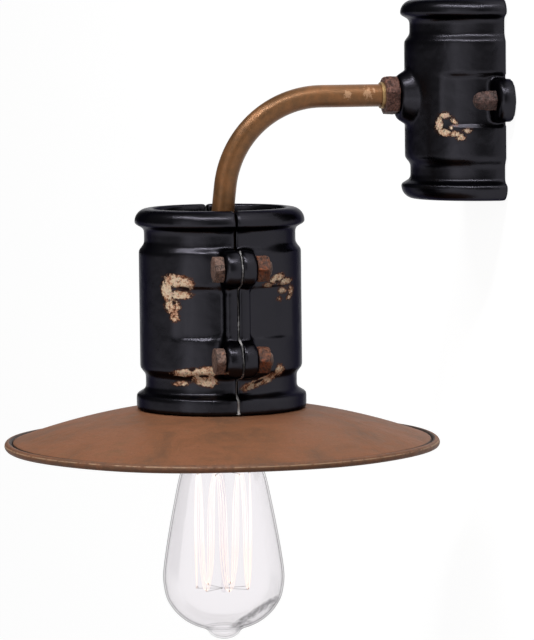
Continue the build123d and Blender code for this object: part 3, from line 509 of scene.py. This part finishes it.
def aged_tube():
    """The arm's brown bronze: long clouds of olive and copper, specks of verdigris and a few
    rubbed places on the straight run that show pale metal."""
    f = Finish("arm_bronze_skin")
    cloud = f.noise(24.0, 4.0, 0.6, 0.6)
    dabs = f.noise(5.0, 4.0, 0.65, 0.5)
    grit = f.noise(0.9, 3.0, 0.6)
    tone = f.ramp(cloud + (dabs - 0.5) * 0.45, [
        (0.25, (0.110, 0.050, 0.018)), (0.42, (0.170, 0.078, 0.028)), (0.55, (0.225, 0.098, 0.034)),
        (0.70, (0.290, 0.120, 0.042)), (0.85, (0.180, 0.090, 0.032))])
    tone = f.blend(f.step(grit, 0.58, 0.72) * 0.45, tone, (0.075, 0.050, 0.028))
    green = f.step(f.noise(3.0, 4.0, 0.7), 0.66, 0.76) * 0.4
    tone = f.blend(green, tone, (0.120, 0.125, 0.062))
    rubbed = None
    for ry, rz, long, tall in ((-66.0, 4.0, 2.8, 3.8), (-77.0, 3.4, 2.6, 3.0), (-62.5, 5.5, 1.2, 1.6)):
        spot = f.stretched((0.0, ry, rz), (0.35, 0.0, 0.0), (1e5, long, tall))
        reach = 1.0 - f.length(spot)
        rubbed = reach if rubbed is None else rubbed.top(reach)
    rubbed = f.step(rubbed + (f.noise(1.5, 5.0, 0.75) - 0.5) * 3.4, 0.20, 0.50) * 0.75
    tone = f.blend(rubbed, tone, (0.56, 0.33, 0.19))
    normal = f.bump(dabs, 0.12)
    normal = f.bump(grit, 0.03, normal)
    rough = 0.38 + (cloud - 0.5) * 0.3 + rubbed * 0.2
    return f.done(f.shader(tone, rough, 0.45, normal, Specular_IOR_Level=0.45))


def machined(name, colour, rough, marks=0.8, metal=1.0):
    """Bright metal with turning marks and a light tarnish in patches."""
    f = Finish(name)
    tarnish = f.noise(4.0, 4.0, 0.6)
    fine = f.noise(marks, 2.0)
    dull = tuple(c * 0.55 for c in colour)
    tone = f.blend(f.step(tarnish, 0.45, 0.70) * 0.6, colour, dull)
    normal = f.bump(fine, 0.02)
    return f.done(f.shader(tone, rough + (tarnish - 0.5) * 0.25, metal, normal))


def zinc():
    """Zinc plating: soft grey with pale blue-yellow bloom and faint spangle."""
    f = Finish("zinc_skin")
    spangle = f.node("ShaderNodeTexVoronoi", {"feature": "F1"}, {"Vector": f.place, "Scale": 0.35},
                     out="Color")
    bloom = f.noise(9.0, 4.0, 0.6)
    tone = f.blend(bloom, (0.46, 0.48, 0.50), (0.60, 0.58, 0.52))
    tone = f.blend(0.05, tone, spangle)
    scuff = f.step(f.noise(2.2, 5.0, 0.7), 0.60, 0.75)
    tone = f.blend(scuff * 0.4, tone, (0.30, 0.29, 0.27))
    return f.done(f.shader(tone, 0.38 + bloom * 0.2, 0.9, f.bump(scuff, 0.02)))


def moulded(name, colour, rough, sheen=0.5):
    """Moulded or extruded plastic: a faint mottle, the skin's fine orange peel and dust in it."""
    f = Finish(name)
    mottle = f.noise(6.0, 4.0, 0.6)
    peel = f.noise(0.7, 2.0)
    pale = tuple(min(1.0, c * 1.25 + 0.012) for c in colour)
    tone = f.blend(f.step(mottle, 0.35, 0.75), colour, pale)
    normal = f.bump(peel, 0.02)
    return f.done(f.shader(tone, rough + (mottle - 0.5) * 0.15, 0.0, normal, Specular_IOR_Level=sheen))


def striped_lead():
    """Earth insulation: green and yellow bands that lean along the lead."""
    f = Finish("earth_lead_skin")
    x, y, z = f.split()
    wave = f.node("ShaderNodeMath", {"operation": "SINE"}, {0: x * 1.3 + y * 0.35 + z * 0.35})
    tone = f.blend(f.step(wave, -0.1, 0.1), (0.62, 0.52, 0.04), (0.05, 0.24, 0.06))
    dust = f.noise(2.0, 3.0)
    return f.done(f.shader(tone, 0.42 + dust * 0.12, 0.0, f.bump(dust, 0.02)))


def unglazed():
    """White ceramic of the lampholder insert: fine grain and a few grey firing specks."""
    f = Finish("porcelain_skin")
    grain = f.noise(0.8, 3.0)
    specks = f.step(f.noise(1.6, 3.0, 0.6), 0.68, 0.76)
    tone = f.blend(specks * 0.5, (0.80, 0.77, 0.70), (0.42, 0.38, 0.33))
    return f.done(f.shader(tone, 0.45 + grain * 0.2, 0.0, f.bump(grain, 0.02)))


def lamp_glass(name, grey, gloss, marks=False):
    """Clear blown glass: see-through, a faint mirror on top, greyer where the wall is seen
    edge-on; with marks, a painted dark reflection, a curved grey streak low on one side, and a
    painted dark line round the base of the tip show too."""
    f = Finish(name)
    normal = f.bump(f.noise(18.0, 2.0), 0.2)
    facing = f.node("ShaderNodeLayerWeight", None, {"Blend": 0.5}, out="Facing")
    clear = f.node("ShaderNodeBsdfTransparent", None, {"Color": (0.975, 0.967, 0.974, 1.0)})
    dim = f.node("ShaderNodeBsdfTransparent", None, {"Color": (grey, grey * 0.985, grey * 1.01, 1.0)})
    edge = f.step(facing, 0.10, 1.0) ** 15.0 * 0.95 + f.step(facing, 0.2, 1.0) * 0.07
    if marks:
        x, y, z = f.split(f.stretched((0.0, LAMP_Y, BULB_TIP), (0.0, 0.0, 0.0), (1.0, 1.0, 1.0)))
        # The painted reflection's middle line is a parabola that starts 6.8 mm aside and 5.6 mm above
        # the tip.
        along_painted_reflection = y - 6.8
        line = z - 5.6 - along_painted_reflection * 0.35 - along_painted_reflection * along_painted_reflection * 0.0127
        painted_reflection = 1.0 - f.step(line.maths("ABSOLUTE"), 0.4, 1.3)
        painted_reflection = painted_reflection * f.step(y, 3.0, 9.0) * ((f.noise(2.6, 4.0) - 0.5) * 2.4 + 0.62)
        # Painted dark line round the base of the tip, where the glass's edge looks grey.
        ring = 1.0 - f.step(((x * x + y * y) ** 0.5 - 10.2).maths("ABSOLUTE"), 0.2, 0.7)
        ring = ring * (1.0 - f.step(z, 12.0, 16.0)) * 0.35
        edge = edge.top(painted_reflection).top(ring)
    through = f.node("ShaderNodeMixShader", None, {0: edge, 1: clear, 2: dim})
    mirror = f.node("ShaderNodeBsdfAnisotropic", None,
                    {"Color": (1.0, 1.0, 1.0, 1.0), "Roughness": 0.22, "Normal": normal})
    fresnel = f.node("ShaderNodeFresnel", None, {"IOR": 1.30, "Normal": normal})
    surface = f.node("ShaderNodeMixShader", None, {0: fresnel * gloss, 1: through, 2: mirror})
    return f.done(surface)


def glowing_wire():
    """The lit wire: nearly white, hottest in the middle of its run and redder near the hooks."""
    f = Finish("filament_glow")
    x, y, z = f.split()
    middle = (CONTACT_Z + BULB_TIP) / 2 + 6.0
    away = ((z - middle) / 32.0).maths("ABSOLUTE")
    flicker = f.noise(2.2, 2.0)
    tone = f.blend(f.step(away, 0.55, 1.0) * 0.7 + flicker * 0.1, (1.0, 0.93, 0.88), (1.0, 0.78, 0.66))
    values = {"Base Color": (0.9, 0.8, 0.75, 1.0), "Roughness": 0.5, "Emission Color": tone,
              "Emission Strength": 1.05}
    return f.done(f.node("ShaderNodeBsdfPrincipled", None, values))


def putty_and_highlight():
    """The pale line in the joint: pale paste and a painted highlight of the joint's rounded edges, laid
    as lime and grey grit, broken by dark gaps and whiter towards the bottom.
    """
    f = Finish("joint_putty_and_highlight_skin")
    x, y, z = f.split()
    crumbs = f.noise(2.0, 5.0, 0.7)
    gaps = f.step(f.noise(6.0, 4.0, 0.65), 0.42, 0.56)
    low = 1.0 - f.step(z, BODY_MIDDLE - 44.0, BODY_MIDDLE - 34.0)
    # The pale grit is partly a painted highlight along the joint's rounded edges.
    tone = f.ramp(crumbs, [
        (0.30, (0.10, 0.095, 0.095)), (0.48, (0.30, 0.29, 0.29)), (0.70, (0.62, 0.60, 0.59))])
    tone = f.blend((1.0 - gaps) * (1.0 - low * 0.7) * 0.85, tone, (0.035, 0.033, 0.035))
    tone = f.blend(low * 0.7, tone, (0.80, 0.79, 0.79))
    return f.done(f.shader(tone, 0.8, 0.0, f.bump(crumbs, 0.25)))


def backdrop(name, lift):
    """Matt white wall or floor. It is mostly plain white light of strength lift, the rest its own
    shade, so that the object's shadow stays faint on it. The camera, mirrors and glass see it;
    from behind, and for light on its way to the object, it isn't there."""
    f = Finish(name)
    ray = f.node("ShaderNodeLightPath").socket.node.outputs
    seen = Socket(f, ray["Is Camera Ray"])
    seen = seen.top(Socket(f, ray["Is Glossy Ray"])).top(Socket(f, ray["Is Transmission Ray"]))
    own = 1.14 - lift
    tone = f.blend(f.noise(40.0, 3.0) * 0.1, (own, own, own), (own * 0.96, own * 0.96, own * 0.96))
    matt = f.node("ShaderNodeBsdfDiffuse", None, {"Color": tone})
    glow = f.node("ShaderNodeEmission", None, {"Color": (1.0, 1.0, 1.0, 1.0), "Strength": lift})
    both = f.node("ShaderNodeAddShader", None, {0: matt, 1: glow})
    behind = f.node("ShaderNodeNewGeometry", None, None, out="Backfacing")
    nothing = f.node("ShaderNodeBsdfTransparent", None, {"Color": (1.0, 1.0, 1.0, 1.0)})
    return f.done(f.node("ShaderNodeMixShader", None, {0: seen * (1.0 - behind), 1: nothing, 2: both}))


# ------------------------------------------------------------------ ceramic shells
# Broken glaze, as (side, ellipses); y from the shell's axis and z from its middle, millimetres.
body_patches = [
    (1, [(-29.0, 17.0, 6.6, 3.6, -6.0), (-33.6, 11.5, 2.6, 6.4, 6.0), (-27.6, 9.8, 5.8, 2.6, 0.0),
         (-24.2, 15.0, 3.2, 3.6, 0.0), (-31.2, 3.6, 3.6, 4.6, 10.0), (-30.4, -1.2, 2.2, 3.6, 8.0),
         (-26.2, 12.8, 3.6, -1.5, -4.0), (-30.6, 5.6, 1.2, -1.6, 0.0)]),
    (1, [(23.0, 17.4, 5.2, 2.2, 20.0), (28.0, 15.4, 4.8, 1.9, 10.0), (17.6, 14.2, 3.2, 1.3, 0.0),
         (26.6, 11.0, 2.6, 2.0, 0.0), (31.8, 10.6, 1.8, 2.8, 0.0), (24.6, 6.6, 1.5, 1.2, 0.0),
         (30.2, 6.8, 1.1, 1.2, 0.0), (22.8, 15.9, 1.8, -0.8, 15.0)]),
    (1, [(-14.5, -29.8, 7.0, 2.6, 0.0), (-24.5, -30.6, 8.0, 2.4, 8.0), (-15.8, -34.6, 6.6, 3.6, -14.0),
         (-27.3, -36.8, 3.8, 1.4, 8.0), (-23.0, -28.8, 2.2, -1.3, 0.0),
         (-17.0, -32.4, 3.0, -0.8, 0.0)]),
    (1, [(8.0, -38.0, 7.0, 2.2, 18.0), (16.5, -35.0, 7.0, 2.4, 20.0), (24.0, -30.8, 3.0, 3.2, 0.0),
         (12.0, -36.0, 3.6, -0.8, 20.0)]),
    (-1, [(18.0, 19.0, 5.5, 2.6, 14.0), (24.0, 15.0, 3.2, 4.8, 0.0), (20.0, 16.4, 1.8, -0.9, 0.0)]),
    (-1, [(-22.0, -31.0, 6.6, 2.6, 10.0), (-14.0, -34.6, 4.6, 2.2, -12.0),
          (-29.0, 6.0, 2.6, 3.8, 0.0)]),
]
wall_patches = [
    (1, [(-30.2, -8.0, 2.9, 1.9, 0.0), (-32.6, -12.4, 1.7, 4.6, -8.0), (-30.4, -16.8, 3.8, 1.9, -18.0),
         (-25.4, -17.8, 3.8, 1.6, -8.0), (-25.8, -11.2, 1.2, 2.2, 30.0), (-27.6, -14.4, 1.4, 0.9, 30.0),
         (-20.2, -15.8, 2.3, 1.4, 0.0), (-23.0, -19.6, 2.3, 1.3, 0.0)]),
    (-1, [(-28.0, 14.0, 4.4, 2.4, 18.0), (-32.0, 9.5, 2.4, 3.4, 0.0)]),
]
body_glaze = glaze("body_glaze", (LAMP_Y, BODY_MIDDLE), body_patches)
wall_glaze = glaze("wall_glaze", (0.0, 0.0), wall_patches, 0.14)
for half in ("body_front", "body_rear"):
    shell = softened("glazed_" + half, half, "fixture", 0.8, 7,
                     middle=(LAMP_Y, BODY_MIDDLE), lugs=LUG_Z)
    shell.data.materials.append(body_glaze)
wall_half = softened("glazed_wall_shell", "wall_shell", "fixture", 0.8, 7, middle=(0.0, 0.0))
wall_half.data.materials.append(wall_glaze)


def joint_line(side):
    """The pale paste and painted highlight that stand in the joint on one side of the lamp body.

    A rod whose path is x = outline(z) - depth at the joint: the outline is the largest of the
    barrel, the rib between the lugs and the two lug discs, drawn in at the neck; the rod's
    radius swings with noise and grows near the bottom."""
    z = np.linspace(33.0, -52.6, 420)
    x = np.full(len(z), BARREL)
    x = np.where(np.abs(z) < LUG_Z, RIB, x)
    for middle in (LUG_Z, -LUG_Z):
        inside = np.clip(LUG_RADIUS ** 2 - (z - middle) ** 2, 0, None)
        x = np.where(inside > 0, np.maximum(x, BOLT_X + np.sqrt(inside)), x)
    x = np.where(z < -34.6, NECK, x)
    x = np.where(z < -44.0, LIP, x)
    soft = np.exp(-0.5 * (np.arange(-12, 13) / 5.0) ** 2)
    padded = np.pad(x, 12, mode="edge")
    x = np.convolve(padded, soft / soft.sum(), "valid")
    spots = np.stack([np.zeros(len(z)), np.zeros(len(z)), z], 1)
    swing = lattice_noise(spots, 5.0, 3)
    y = LAMP_Y + 0.25 * lattice_noise(spots, 7.0, 9)
    radius = 0.46 + 0.16 * swing + 1.15 * np.clip((-z - 42.0) / 10.0, 0, 1)
    path = np.stack([side * (x - 1.25 - radius * 0.3), y, BODY_MIDDLE + z], 1)
    return along(path, radius, 8)


points, faces = joined([joint_line(1), joint_line(-1)])
paste_and_highlight = place_mesh("joint_paste_and_highlight", points, faces, "fixture")
paste_and_highlight.data.materials.append(putty_and_highlight())

# ------------------------------------------------------------------ fasteners
bolt_rust = rust("bolt_rust", (0.026, 0.015, 0.012), (0.125, 0.072, 0.055), (0.250, 0.150, 0.115), 0.00)
nut_rust = rust("nut_rust", (0.016, 0.008, 0.006), (0.090, 0.032, 0.018), (0.215, 0.078, 0.038), 0.08)
cap_rust = rust("cap_nut_rust", (0.018, 0.010, 0.009), (0.066, 0.036, 0.031), (0.150, 0.080, 0.068),
                0.00)
collar_skin = rust("collar_rust_skin", (0.026, 0.013, 0.010), (0.120, 0.050, 0.038),
                   (0.220, 0.105, 0.080), 0.03, 0.8)
bolts = softened("rusty_bolts", "clamp_bolts", "fixture", 0.40, 3, 0.22, 2.4, 5)
bolts.data.materials.append(bolt_rust)
nuts = softened("rusty_nuts", "clamp_nuts", "fixture", 0.38, 3, 0.24, 2.2, 11)
nuts.data.materials.append(nut_rust)
domes = softened("rusty_cap_nuts", "wall_cap_nuts", "fixture", 0.34, 4, 0.20, 1.9, 17)
domes.data.materials.append(cap_rust)
collar = softened("rusty_collar", "arm_collar", "fixture", 0.42, 4, 0.24, 2.4, 23)
collar.data.materials.append(collar_skin)


# ------------------------------------------------------------------ shade
def shade_outline():
    """(radius, height) from the hole out over the dome, round the rolled rim and back below.

    The dome falls by (r^2 - SHADE_SEAT^2) / (2 SHADE_SPHERE) beyond its flat seat; a small gutter
    parts it from the rim, which is a circle of radius RIM_BEAD round (RIM_RADIUS, RIM_Z)."""
    def dome(r):
        return -np.clip(r ** 2 - SHADE_SEAT ** 2, 0, None) / (2 * SHADE_SPHERE)
    r_top = np.concatenate([np.linspace(20.1, 45.0, 8), np.linspace(SHADE_SEAT, 111.1, 60)])
    top = np.stack([r_top, dome(r_top)], 1)
    gutter = np.array([(111.35, -17.6), (111.55, -18.1)])
    swing = np.radians(np.linspace(168.0, -160.0, 28))
    rim = np.stack([RIM_RADIUS + RIM_BEAD * np.cos(swing), RIM_Z + RIM_BEAD * np.sin(swing)], 1)
    r_low = r_top[::-1]
    low = np.stack([r_low, dome(r_low) - SHADE_SHEET], 1)
    outline = np.concatenate([top, gutter, rim, low])
    return outline[::-1] + (0.0, SHADE_TOP)


def hand_spun(radius, angle):
    """The unevenness of a hand-spun dome: 0.25 mm of slow waves that grow towards the rim."""
    reach = np.clip((radius - 50.0) / 65.0, 0, 1) ** 2
    up = reach * (0.22 * np.sin(3 * angle + 0.7) + 0.12 * np.sin(7 * angle + 2.1))
    out = reach * 0.10 * np.sin(5 * angle + 1.3)
    return out, up


points, faces = spun(shade_outline(), 288, hand_spun)
dome_piece = place_mesh("spun_shade", points, faces, "shade")
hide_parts("shade")
dome_piece.data.materials.append(spun_rust())


# ------------------------------------------------------------------ bulb
def cage_wires():
    """The filament: three thin strands a run between an upper and a lower ring of hooks.

    Run k goes from one ring to the other, 62.8 mm below, on a circle of CAGE_RADIUS. Its angle
    grows by half a step in all, but away from the hooks, by the weight 0.8 sin(pi t)^(1/3), it
    keeps to the middle of the run; strand s bows out by 0.5 sin(pi t) and stands off sideways
    by 1.5 s sin(pi t)^(1/3), so that all meet at the hooks."""
    t = np.linspace(0, 1, 41)
    belly = np.sin(np.pi * t)
    flat = np.cbrt(belly)
    parts = []
    for k in range(2 * CAGE_LOOPS):
        for strand in (-1, 0, 1):
            step = k / 2 + (1 - 0.8 * flat) * t / 2 + 0.8 * flat * 0.25
            angle = 2 * np.pi * (step + 0.5) / CAGE_LOOPS + strand * 1.5 / CAGE_RADIUS * flat
            height = CAGE_TOP + (CAGE_BOTTOM - CAGE_TOP) * (t if k % 2 == 0 else 1 - t)
            bow = CAGE_RADIUS + (0.5 - 0.3 * strand) * belly
            parts.append(along(round_the_axis(bow, angle, height), 0.13, 6))
    return joined(parts)


def hook_rings():
    """Two rings of seven fine hooks that hold the filament.

    Each hook is a rod from the glass rod at radius 1.0 out to 14.3, then a loop of radius 0.5
    in the upright plane; the wire is 0.09 mm in radius and 0.17 in the loop."""
    out = np.linspace(1.0, 14.3, 12)
    curl = np.linspace(0.0, 1.75 * np.pi, 12)[1:]
    reach = np.concatenate([out, 14.3 + 0.5 * np.sin(curl)])
    rise = np.concatenate([np.zeros(12), 0.5 * (1 - np.cos(curl))])
    radius = np.where(np.arange(23) < 12, 0.09, 0.17)
    parts = []
    for level, shift, way in ((CAGE_TOP, 0.5, -1.0), (CAGE_BOTTOM, 1.0, 1.0)):
        for k in range(CAGE_LOOPS):
            angle = 2 * np.pi * (k + shift) / CAGE_LOOPS
            parts.append(along(round_the_axis(reach, angle, level + way * rise), radius, 6))
    return joined(parts)


points, faces = hook_rings()
hooks = place_mesh("hook_rings", points, faces, "bulb")
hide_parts("support_wires")
hooks.data.materials.append(machined("hook_wire_skin", (0.40, 0.37, 0.35), 0.6, 0.8, 0.0))

points, faces = cage_wires()
wires = place_mesh("filament_wires", points, faces, "bulb")
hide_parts("filament")
wires.data.materials.append(glowing_wire())


def blown_outline():
    """(radius, height) of the blown glass, out and in, from the mouth to the tip and back.

    The outer line is a Catmull-Rom curve through the bulb's radius at some heights above its
    tip; the inner one lies GLASS_WALL inside it, square to its direction. Both meet the axis at
    the tip."""
    seen = np.array([(12.3, 116.0), (12.3, 110.0), (15.2, 104.0), (20.4, 94.5), (23.2, 87.0),
                     (25.9, 74.3), (28.4, 61.5), (30.6, 48.7), (32.1, 38.0), (32.3, 31.5),
                     (30.9, 23.4), (28.4, 18.4), (25.3, 14.4), (20.9, 10.6), (16.0, 7.9),
                     (11.4, 6.2), (8.9, 4.6), (7.4, 2.6), (4.4, 0.8), (0.0, 0.0)])
    mirrored = np.concatenate([[(12.3, 122.0)], seen, [(-4.4, 0.8)]])
    t = np.linspace(0, 1, 7)[:-1, None]
    pieces = []
    for a, b, c, d in zip(mirrored, mirrored[1:], mirrored[2:], mirrored[3:]):
        pieces.append(0.5 * (2 * b + (c - a) * t + (2 * a - 5 * b + 4 * c - d) * t ** 2
                             + (3 * b - a - 3 * c + d) * t ** 3))
    outer = np.concatenate(pieces + [seen[-1:]])
    way = np.gradient(outer, axis=0)
    way /= np.linalg.norm(way, axis=1, keepdims=True)
    inner = outer + GLASS_WALL * np.stack([way[:, 1], -way[:, 0]], 1)
    inner[:, 0] = np.clip(inner[:, 0], 0, None)
    inner[-1] = (0.0, GLASS_WALL)
    return np.concatenate([outer, inner[::-1]]) + (0.0, BULB_TIP)


points, faces = spun(blown_outline()[::-1], 128)
glass = place_mesh("blown_bulb", points, faces, "bulb")
poles = bmesh.new()
poles.from_mesh(glass.data)
bmesh.ops.remove_doubles(poles, verts=poles.verts, dist=1e-7)
bmesh.ops.dissolve_degenerate(poles, edges=poles.edges, dist=1e-8)
poles.to_mesh(glass.data)
poles.free()
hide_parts("bulb_glass")
glass.data.materials.append(lamp_glass("bulb_glass_skin", 0.34, 0.13, True))


def threaded_cap():
    """The bulb's screw cap with a true helix.

    Down the cap the radius is 12.6 + 0.5 cos(2 pi z / CAP_PITCH + angle), eased to a plain 12.0
    at the top and to the collar's 13.3 at the glass; the wall is 0.4 mm thick."""
    z = np.concatenate([np.linspace(-5.6, -22.0, 84), np.linspace(-22.3, -27.0, 10)])
    a = np.linspace(0, 2 * np.pi, 96, endpoint=False)
    height, angle = np.meshgrid(z, a, indexing="ij")
    ridge = 12.6 + 0.5 * np.cos(2 * np.pi * (height / CAP_PITCH) + angle)
    start = np.clip((-height - 5.6) / 1.6, 0, 1)
    end = np.clip((-height - 19.6) / 2.4, 0, 1)
    radius = (1 - start) * 12.0 + start * ridge
    radius = (1 - end) * radius + end * 13.3
    inner = radius - 0.4
    loop = np.concatenate([round_the_axis(radius, angle, CONTACT_Z + height),
                           round_the_axis(inner, angle, CONTACT_Z + height)[::-1]])
    return loop[::-1].reshape(-1, 3), grid_faces(len(loop), len(a), close_rows=True)


points, faces = threaded_cap()
cap = place_mesh("threaded_cap", points, faces, "bulb")
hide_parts("bulb_cap")
cap.data.materials.append(machined("cap_brass_skin", (0.72, 0.62, 0.42), 0.30))

# ------------------------------------------------------------------ finishes of the CAD pieces
brass = machined("brass_skin", (0.66, 0.47, 0.20), 0.34)
zinc_skin = zinc()
holder_skin = moulded("holder_skin", (0.020, 0.018, 0.017), 0.38)
finishes = {
    "wall_bracket": zinc_skin, "block_screw": zinc_skin, "arm_washer": zinc_skin,
    "arm_locknut": zinc_skin, "carrier_disc": zinc_skin, "wall_studs": bolt_rust,
    "terminal_screws": brass, "earth_screw": brass, "earth_washer": brass, "earth_tag": brass,
    "tail_nuts": brass, "holder_terminals": brass, "screw_shell": brass, "centre_contact": brass,
    "terminal_block": moulded("block_skin", (0.74, 0.73, 0.68), 0.5),
    "arm_tube": aged_tube(),
    "arm_ferrule": machined("ferrule_skin", (0.42, 0.27, 0.12), 0.42, 0.6, 0.7),
    "live_lead": moulded("live_lead_skin", (0.13, 0.055, 0.025), 0.42),
    "neutral_lead": moulded("neutral_lead_skin", (0.03, 0.09, 0.38), 0.42),
    "earth_lead": striped_lead(),
    "holder_cap": holder_skin, "holder_skirt": holder_skin, "shade_ring": holder_skin,
    "holder_insert": unglazed(),
    "contact_button": machined("solder_skin", (0.60, 0.59, 0.56), 0.4),
    "cap_insulator": moulded("cap_glass_skin", (0.012, 0.010, 0.016), 0.12),
    "glass_stem": lamp_glass("stem_glass_skin", 0.80, 0.2),
}
for node, material in finishes.items():
    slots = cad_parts[node].data.materials
    slots.clear()
    slots.append(material)


# ------------------------------------------------------------------ studio
def flat_sheet(name, corners, material):
    """A plain four-cornered sheet, facing the side from which its corners run anticlockwise."""
    mesh = bpy.data.meshes.new(name)
    mesh.from_pydata(corners, [], [(0, 1, 2, 3)])
    mesh.update()
    obj = bpy.data.objects.new(name, mesh)
    bpy.context.scene.collection.objects.link(obj)
    mesh.materials.append(material)


LEFT, RIGHT, NEAR, WALL, FLOOR, HIGH = -14, 6, -8, 0.0006, -0.62, 5     # of the studio, in metres
white = backdrop("studio_white", 0.93)
flat_sheet("studio_wall", [(LEFT, WALL, FLOOR), (RIGHT, WALL, FLOOR), (RIGHT, WALL, HIGH),
                           (LEFT, WALL, HIGH)], white)
flat_sheet("studio_floor", [(LEFT, NEAR, FLOOR), (RIGHT, NEAR, FLOOR), (RIGHT, WALL, FLOOR),
                            (LEFT, WALL, FLOOR)], white)


def softbox(name, place, target, wide, tall, watts):
    """A rectangular lamp at place that faces target; its shorter side stays near level."""
    light = bpy.data.lights.new(name, "AREA")
    light.shape = "RECTANGLE"
    light.size, light.size_y = wide, tall
    light.energy = watts
    obj = bpy.data.objects.new(name, light)
    bpy.context.scene.collection.objects.link(obj)
    place, target = np.array(place, float), np.array(target, float)
    back = (place - target) / np.linalg.norm(place - target)
    side = np.cross((0.0, 0.0, 1.0), back)
    side /= np.linalg.norm(side)
    up = np.cross(back, side)
    turn = Matrix(np.stack([side, up, back], 1).tolist()).to_4x4()
    obj.matrix_world = Matrix.Translation(place.tolist()) @ turn


lamp_middle = (0.0, -0.12, -0.10)
OVERHEAD, HANG = 2.0, math.radians(57.0)    # distance and height angle of the three strips above
for name, swing, watts in (("left", 67.0, 17.0), ("middle", 12.0, 16.5), ("right", -43.0, 7.0)):
    far = math.radians(swing)
    place = (OVERHEAD * math.cos(HANG) * math.cos(far),
             -0.12 - OVERHEAD * math.cos(HANG) * math.sin(far),
             OVERHEAD * math.sin(HANG) - 0.10)
    softbox("overhead_" + name, place, lamp_middle, 1.45, 0.10, watts)
softbox("front_fill", (1.9, -1.9, 0.2), lamp_middle, 1.3, 1.8, 5.0)
softbox("left_front", (1.0, -1.9, 0.25), lamp_middle, 0.6, 1.6, 3.0)

world = bpy.data.worlds.new("studio_air")
bpy.context.scene.world = world
world.use_nodes = True
world.node_tree.nodes["Background"].inputs["Color"].default_value = (1.0, 1.0, 1.0, 1.0)
world.node_tree.nodes["Background"].inputs["Strength"].default_value = 0.15

# The camera, solved from the photograph: place in metres, azimuth, dip and roll in degrees.
CAMERA_PLACE = (1.87265, -0.52287, 0.04719)
AZIMUTH, DIP, ROLL = math.radians(77.88), math.radians(4.867), math.radians(-0.628)
camera = bpy.data.cameras.new("camera")
camera.lens, camera.sensor_width = 203.19, 36.0
camera.clip_start, camera.clip_end = 0.05, 60.0
camera_object = bpy.data.objects.new("camera", camera)
bpy.context.scene.collection.objects.link(camera_object)
ahead = np.array([-math.sin(AZIMUTH) * math.cos(DIP), math.cos(AZIMUTH) * math.cos(DIP),
                  -math.sin(DIP)])
level = np.array([math.cos(AZIMUTH), math.sin(AZIMUTH), 0.0])
upright = np.cross(level, ahead)
right = math.cos(ROLL) * level + math.sin(ROLL) * upright
above = -math.sin(ROLL) * level + math.cos(ROLL) * upright
turn = Matrix(np.stack([right, above, -ahead], 1).tolist()).to_4x4()
camera_object.matrix_world = Matrix.Translation(CAMERA_PLACE) @ turn
bpy.context.scene.camera = camera_object
bpy.context.scene.view_settings.view_transform = "Standard"
